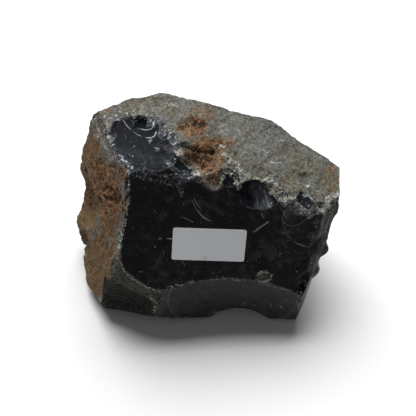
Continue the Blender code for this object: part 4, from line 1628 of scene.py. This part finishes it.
def scatter_tree(name, mark, material):
    """Small lumps of 20 faces on a surface, as thick on the ground as its mark is strong."""
    tree = bpy.data.node_groups.new(name, "GeometryNodeTree")
    add_input(tree, "Surface", "Geometry")
    tree.interface.new_socket("Lumps", in_out="OUTPUT", socket_type="NodeSocketGeometry")
    inputs = {name: add_input(tree, name, kind) for name, kind in SCATTER_INPUTS.items()}
    start = tree.nodes.new("NodeGroupInput")
    end = tree.nodes.new("NodeGroupOutput")
    strength = tree.nodes.new("GeometryNodeInputNamedAttribute")
    strength.inputs["Name"].default_value = mark
    above = tree.nodes.new("ShaderNodeMath")
    above.operation = "SUBTRACT"
    above.inputs[1].default_value = LEAST_MARK
    thick = tree.nodes.new("ShaderNodeMath")
    thick.operation = "MULTIPLY"
    scatter = tree.nodes.new("GeometryNodeDistributePointsOnFaces")
    lump = tree.nodes.new("GeometryNodeMeshIcoSphere")
    lump.inputs["Radius"].default_value = 1.0
    lump.inputs["Subdivisions"].default_value = 1
    turn = tree.nodes.new("FunctionNodeRandomValue")
    turn.data_type = "FLOAT_VECTOR"
    turn.inputs["Max"].default_value = (math.tau, math.tau, math.tau)
    size = tree.nodes.new("FunctionNodeRandomValue")
    size.data_type = "FLOAT_VECTOR"
    place = tree.nodes.new("GeometryNodeInstanceOnPoints")
    real = tree.nodes.new("GeometryNodeRealizeInstances")
    cover = tree.nodes.new("GeometryNodeSetMaterial")
    cover.inputs["Material"].default_value = material
    join = tree.links.new
    join(strength.outputs["Attribute"], above.inputs[0])
    join(above.outputs[0], thick.inputs[0])
    join(start.outputs["Density"], thick.inputs[1])
    join(start.outputs["Surface"], scatter.inputs["Mesh"])
    join(thick.outputs[0], scatter.inputs["Density"])
    join(start.outputs["Seed"], scatter.inputs["Seed"])
    join(start.outputs["Seed"], size.inputs["Seed"])
    join(start.outputs["Small"], size.inputs["Min"])
    join(start.outputs["Large"], size.inputs["Max"])
    join(scatter.outputs["Points"], place.inputs["Points"])
    join(lump.outputs["Mesh"], place.inputs["Instance"])
    join(turn.outputs["Value"], place.inputs["Rotation"])
    join(size.outputs["Value"], place.inputs["Scale"])
    join(place.outputs["Instances"], real.inputs["Geometry"])
    join(real.outputs["Geometry"], cover.inputs["Geometry"])
    join(cover.outputs["Geometry"], end.inputs["Lumps"])
    return tree, inputs


def scattered(name, source, row, material):
    item = link(bpy.data.objects.new(name, source.data.copy()))
    tree, inputs = scatter_tree(name, row["mark"], material)
    modifier = item.modifiers.new("scatter", "NODES")
    modifier.node_group = tree
    modifier[inputs["Density"]] = row["per_mm2"] / MM**2
    modifier[inputs["Small"]] = row["small"] * MM
    modifier[inputs["Large"]] = row["large"] * MM
    modifier[inputs["Seed"]] = row["seed"]
    baked(item)
    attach(item, "root")


GRAIN_SPACING = 0.8
GRAIN_LOW = (0.2, 0.45)
GRAIN_HIGH = (0.6, 0.9)


def grain_material(name, dark, middle, pale, roughness):
    """Each grain takes its own colour from a net as fine as the grains."""
    material, tree = new_material(name)
    shading = Shading(tree)
    lot = shading.cells(GRAIN_SPACING)[1]
    low = shading.ramp(*GRAIN_LOW, lot)
    high = shading.ramp(*GRAIN_HIGH, lot)
    colour = shading.mix(high, shading.mix(low, dark, middle), pale)
    shading.plug(colour, shading.shader.inputs["Base Color"])
    shading.plug(roughness, shading.shader.inputs["Roughness"])
    return material


rust_grain = grain_material("rust_grain", RUST_DARK, RUST_BROWN, RUST_TAN, 0.9)
rind_splinter = grain_material("rind_splinter", RIND_DARK, CRUST_PALE, BRUISE_AND_GLEAM_WHITE, 0.6)
glass_splinter = grain_material("glass_splinter", GLASS_BLACK, BRUISE_BLUE, BRUISE_AND_GLEAM_WHITE, 0.3)
scattered("rust_grains", stone, RUST_GRAINS, rust_grain)
scattered("ridge_splinters", stone, RIDGE_SPLINTERS, rind_splinter)
scattered("crushed_splinters", stone, CRUSHED_SPLINTERS, glass_splinter)


# The label is a 38 by 19 mm sheet of white writing paper with rounded corners, pressed flat on the
# front glass by its own glue and left bare.

LABEL_SIZE = (38.0, 19.0)
LABEL_CORNER = 1.2
LABEL_THICKNESS = 0.12
LABEL_LIFT = 0.02
LABEL_FROM_FOOT = (-1.34, -3.79)
LABEL_ROLL = -5.8
LABEL_CORNER_STEPS = 8
LABEL_RIM = 0.55
RIM_SOFTNESS = 0.3
PAPER = (0.945, 0.965, 1.0, 1.0)
PAPER_SHADED = (0.89, 0.915, 0.97, 1.0)
PAPER_RIM = (0.97, 0.97, 0.98, 1.0)
SMUDGE = (0.30, 0.29, 0.28, 1.0)
SMUDGE_PLACE = (-2.0, -8.6)
SMUDGE_SIZE = 3.2
SMUDGE_CORE = 0.1
PAPER_ROUGHNESS = 0.6
PAPER_GRAIN = (0.5, 4.0, 0.7)
PAPER_GRAIN_HEIGHT = 0.05
PATCHES["mottle"] = (6.0, 3.0, 0.5, 0.35, 0.65)
PATCHES["smudge"] = (0.8, 3.0, 0.5, 0.4, 0.65)
SHARES["mottle"] = 0.4
SHARES["smudge"] = 0.45


def make_label():
    bpy.ops.mesh.primitive_cube_add(size=1.0)
    label = bpy.context.active_object
    label.name = "paper_label"
    shape = bmesh.new()
    shape.from_mesh(label.data)
    size = Vector((*LABEL_SIZE, LABEL_THICKNESS)) * MM
    bmesh.ops.scale(shape, vec=size, verts=shape.verts[:])
    upright = []
    for edge in shape.edges:
        span = edge.verts[0].co - edge.verts[1].co
        if abs(span.z) > LABEL_THICKNESS * MM * 0.5:
            upright.append(edge)
    bmesh.ops.bevel(
        shape,
        geom=upright,
        offset=LABEL_CORNER * MM,
        segments=LABEL_CORNER_STEPS,
        profile=0.5,
        affect="EDGES",
    )
    paper_map = shape.loops.layers.uv.new("paper")
    for face in shape.faces:
        for corner in face.loops:
            corner[paper_map].uv = corner.vert.co.xy / MM
    outer = Vector(FACE_WAYS[NAMES.index("front_glass")])
    right = Vector((0, 0, 1)).cross(outer).normalized()
    up = outer.cross(right)
    centre = Vector(HEART) + outer * FRACTURES["front_glass"][2]
    centre += right * LABEL_FROM_FOOT[0] + up * LABEL_FROM_FOOT[1]
    centre += outer * (LABEL_LIFT + LABEL_THICKNESS / 2)
    turn = Matrix((right, up, outer)).transposed().to_4x4()
    roll = Matrix.Rotation(math.radians(LABEL_ROLL), 4, "Z")
    move = Matrix.Translation(centre * MM) @ turn @ roll
    bmesh.ops.transform(shape, matrix=move, verts=shape.verts[:])
    shape.to_mesh(label.data)
    shape.free()
    return label


def paper_material():
    """White paper, a little darker to the right, with a lighter rim and a smudge near its foot."""
    material, tree = new_material("label_paper")
    shading = Shading(tree)
    flat = shading.node("UVMap", uv_map="paper").outputs["UV"]
    parts = shading.node("SeparateXYZ", {0: flat})
    width, height = LABEL_SIZE
    side = shading.maths("SUBTRACT", shading.maths("ABSOLUTE", parts.outputs["X"]), width / 2)
    end = shading.maths("SUBTRACT", shading.maths("ABSOLUTE", parts.outputs["Y"]), height / 2)
    rim = shading.ramp(-LABEL_RIM, -LABEL_RIM * RIM_SOFTNESS, shading.most(side, end))
    fade = shading.ramp(-width / 2, width / 2, parts.outputs["X"])
    tone = shading.mix(fade, PAPER, PAPER_SHADED)
    tone = shading.cover("mottle", shading.patch("mottle"), tone, PAPER_SHADED)
    tone = shading.mix(rim, tone, PAPER_RIM)
    away = shading.vector("DISTANCE", flat, (*SMUDGE_PLACE, 0.0)).outputs["Value"]
    spot = shading.ramp(SMUDGE_SIZE, SMUDGE_SIZE * SMUDGE_CORE, away)
    tone = shading.cover("smudge", shading.times(spot, shading.patch("smudge")), tone, SMUDGE)
    grain = shading.cloud(*PAPER_GRAIN)
    shading.finish(grain, (PAPER_GRAIN_HEIGHT, 1.0), Base_Color=tone, Roughness=PAPER_ROUGHNESS)
    return material


label = make_label()
label.data.materials.clear()
label.data.materials.append(paper_material())
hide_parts("label")
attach(label, "root")
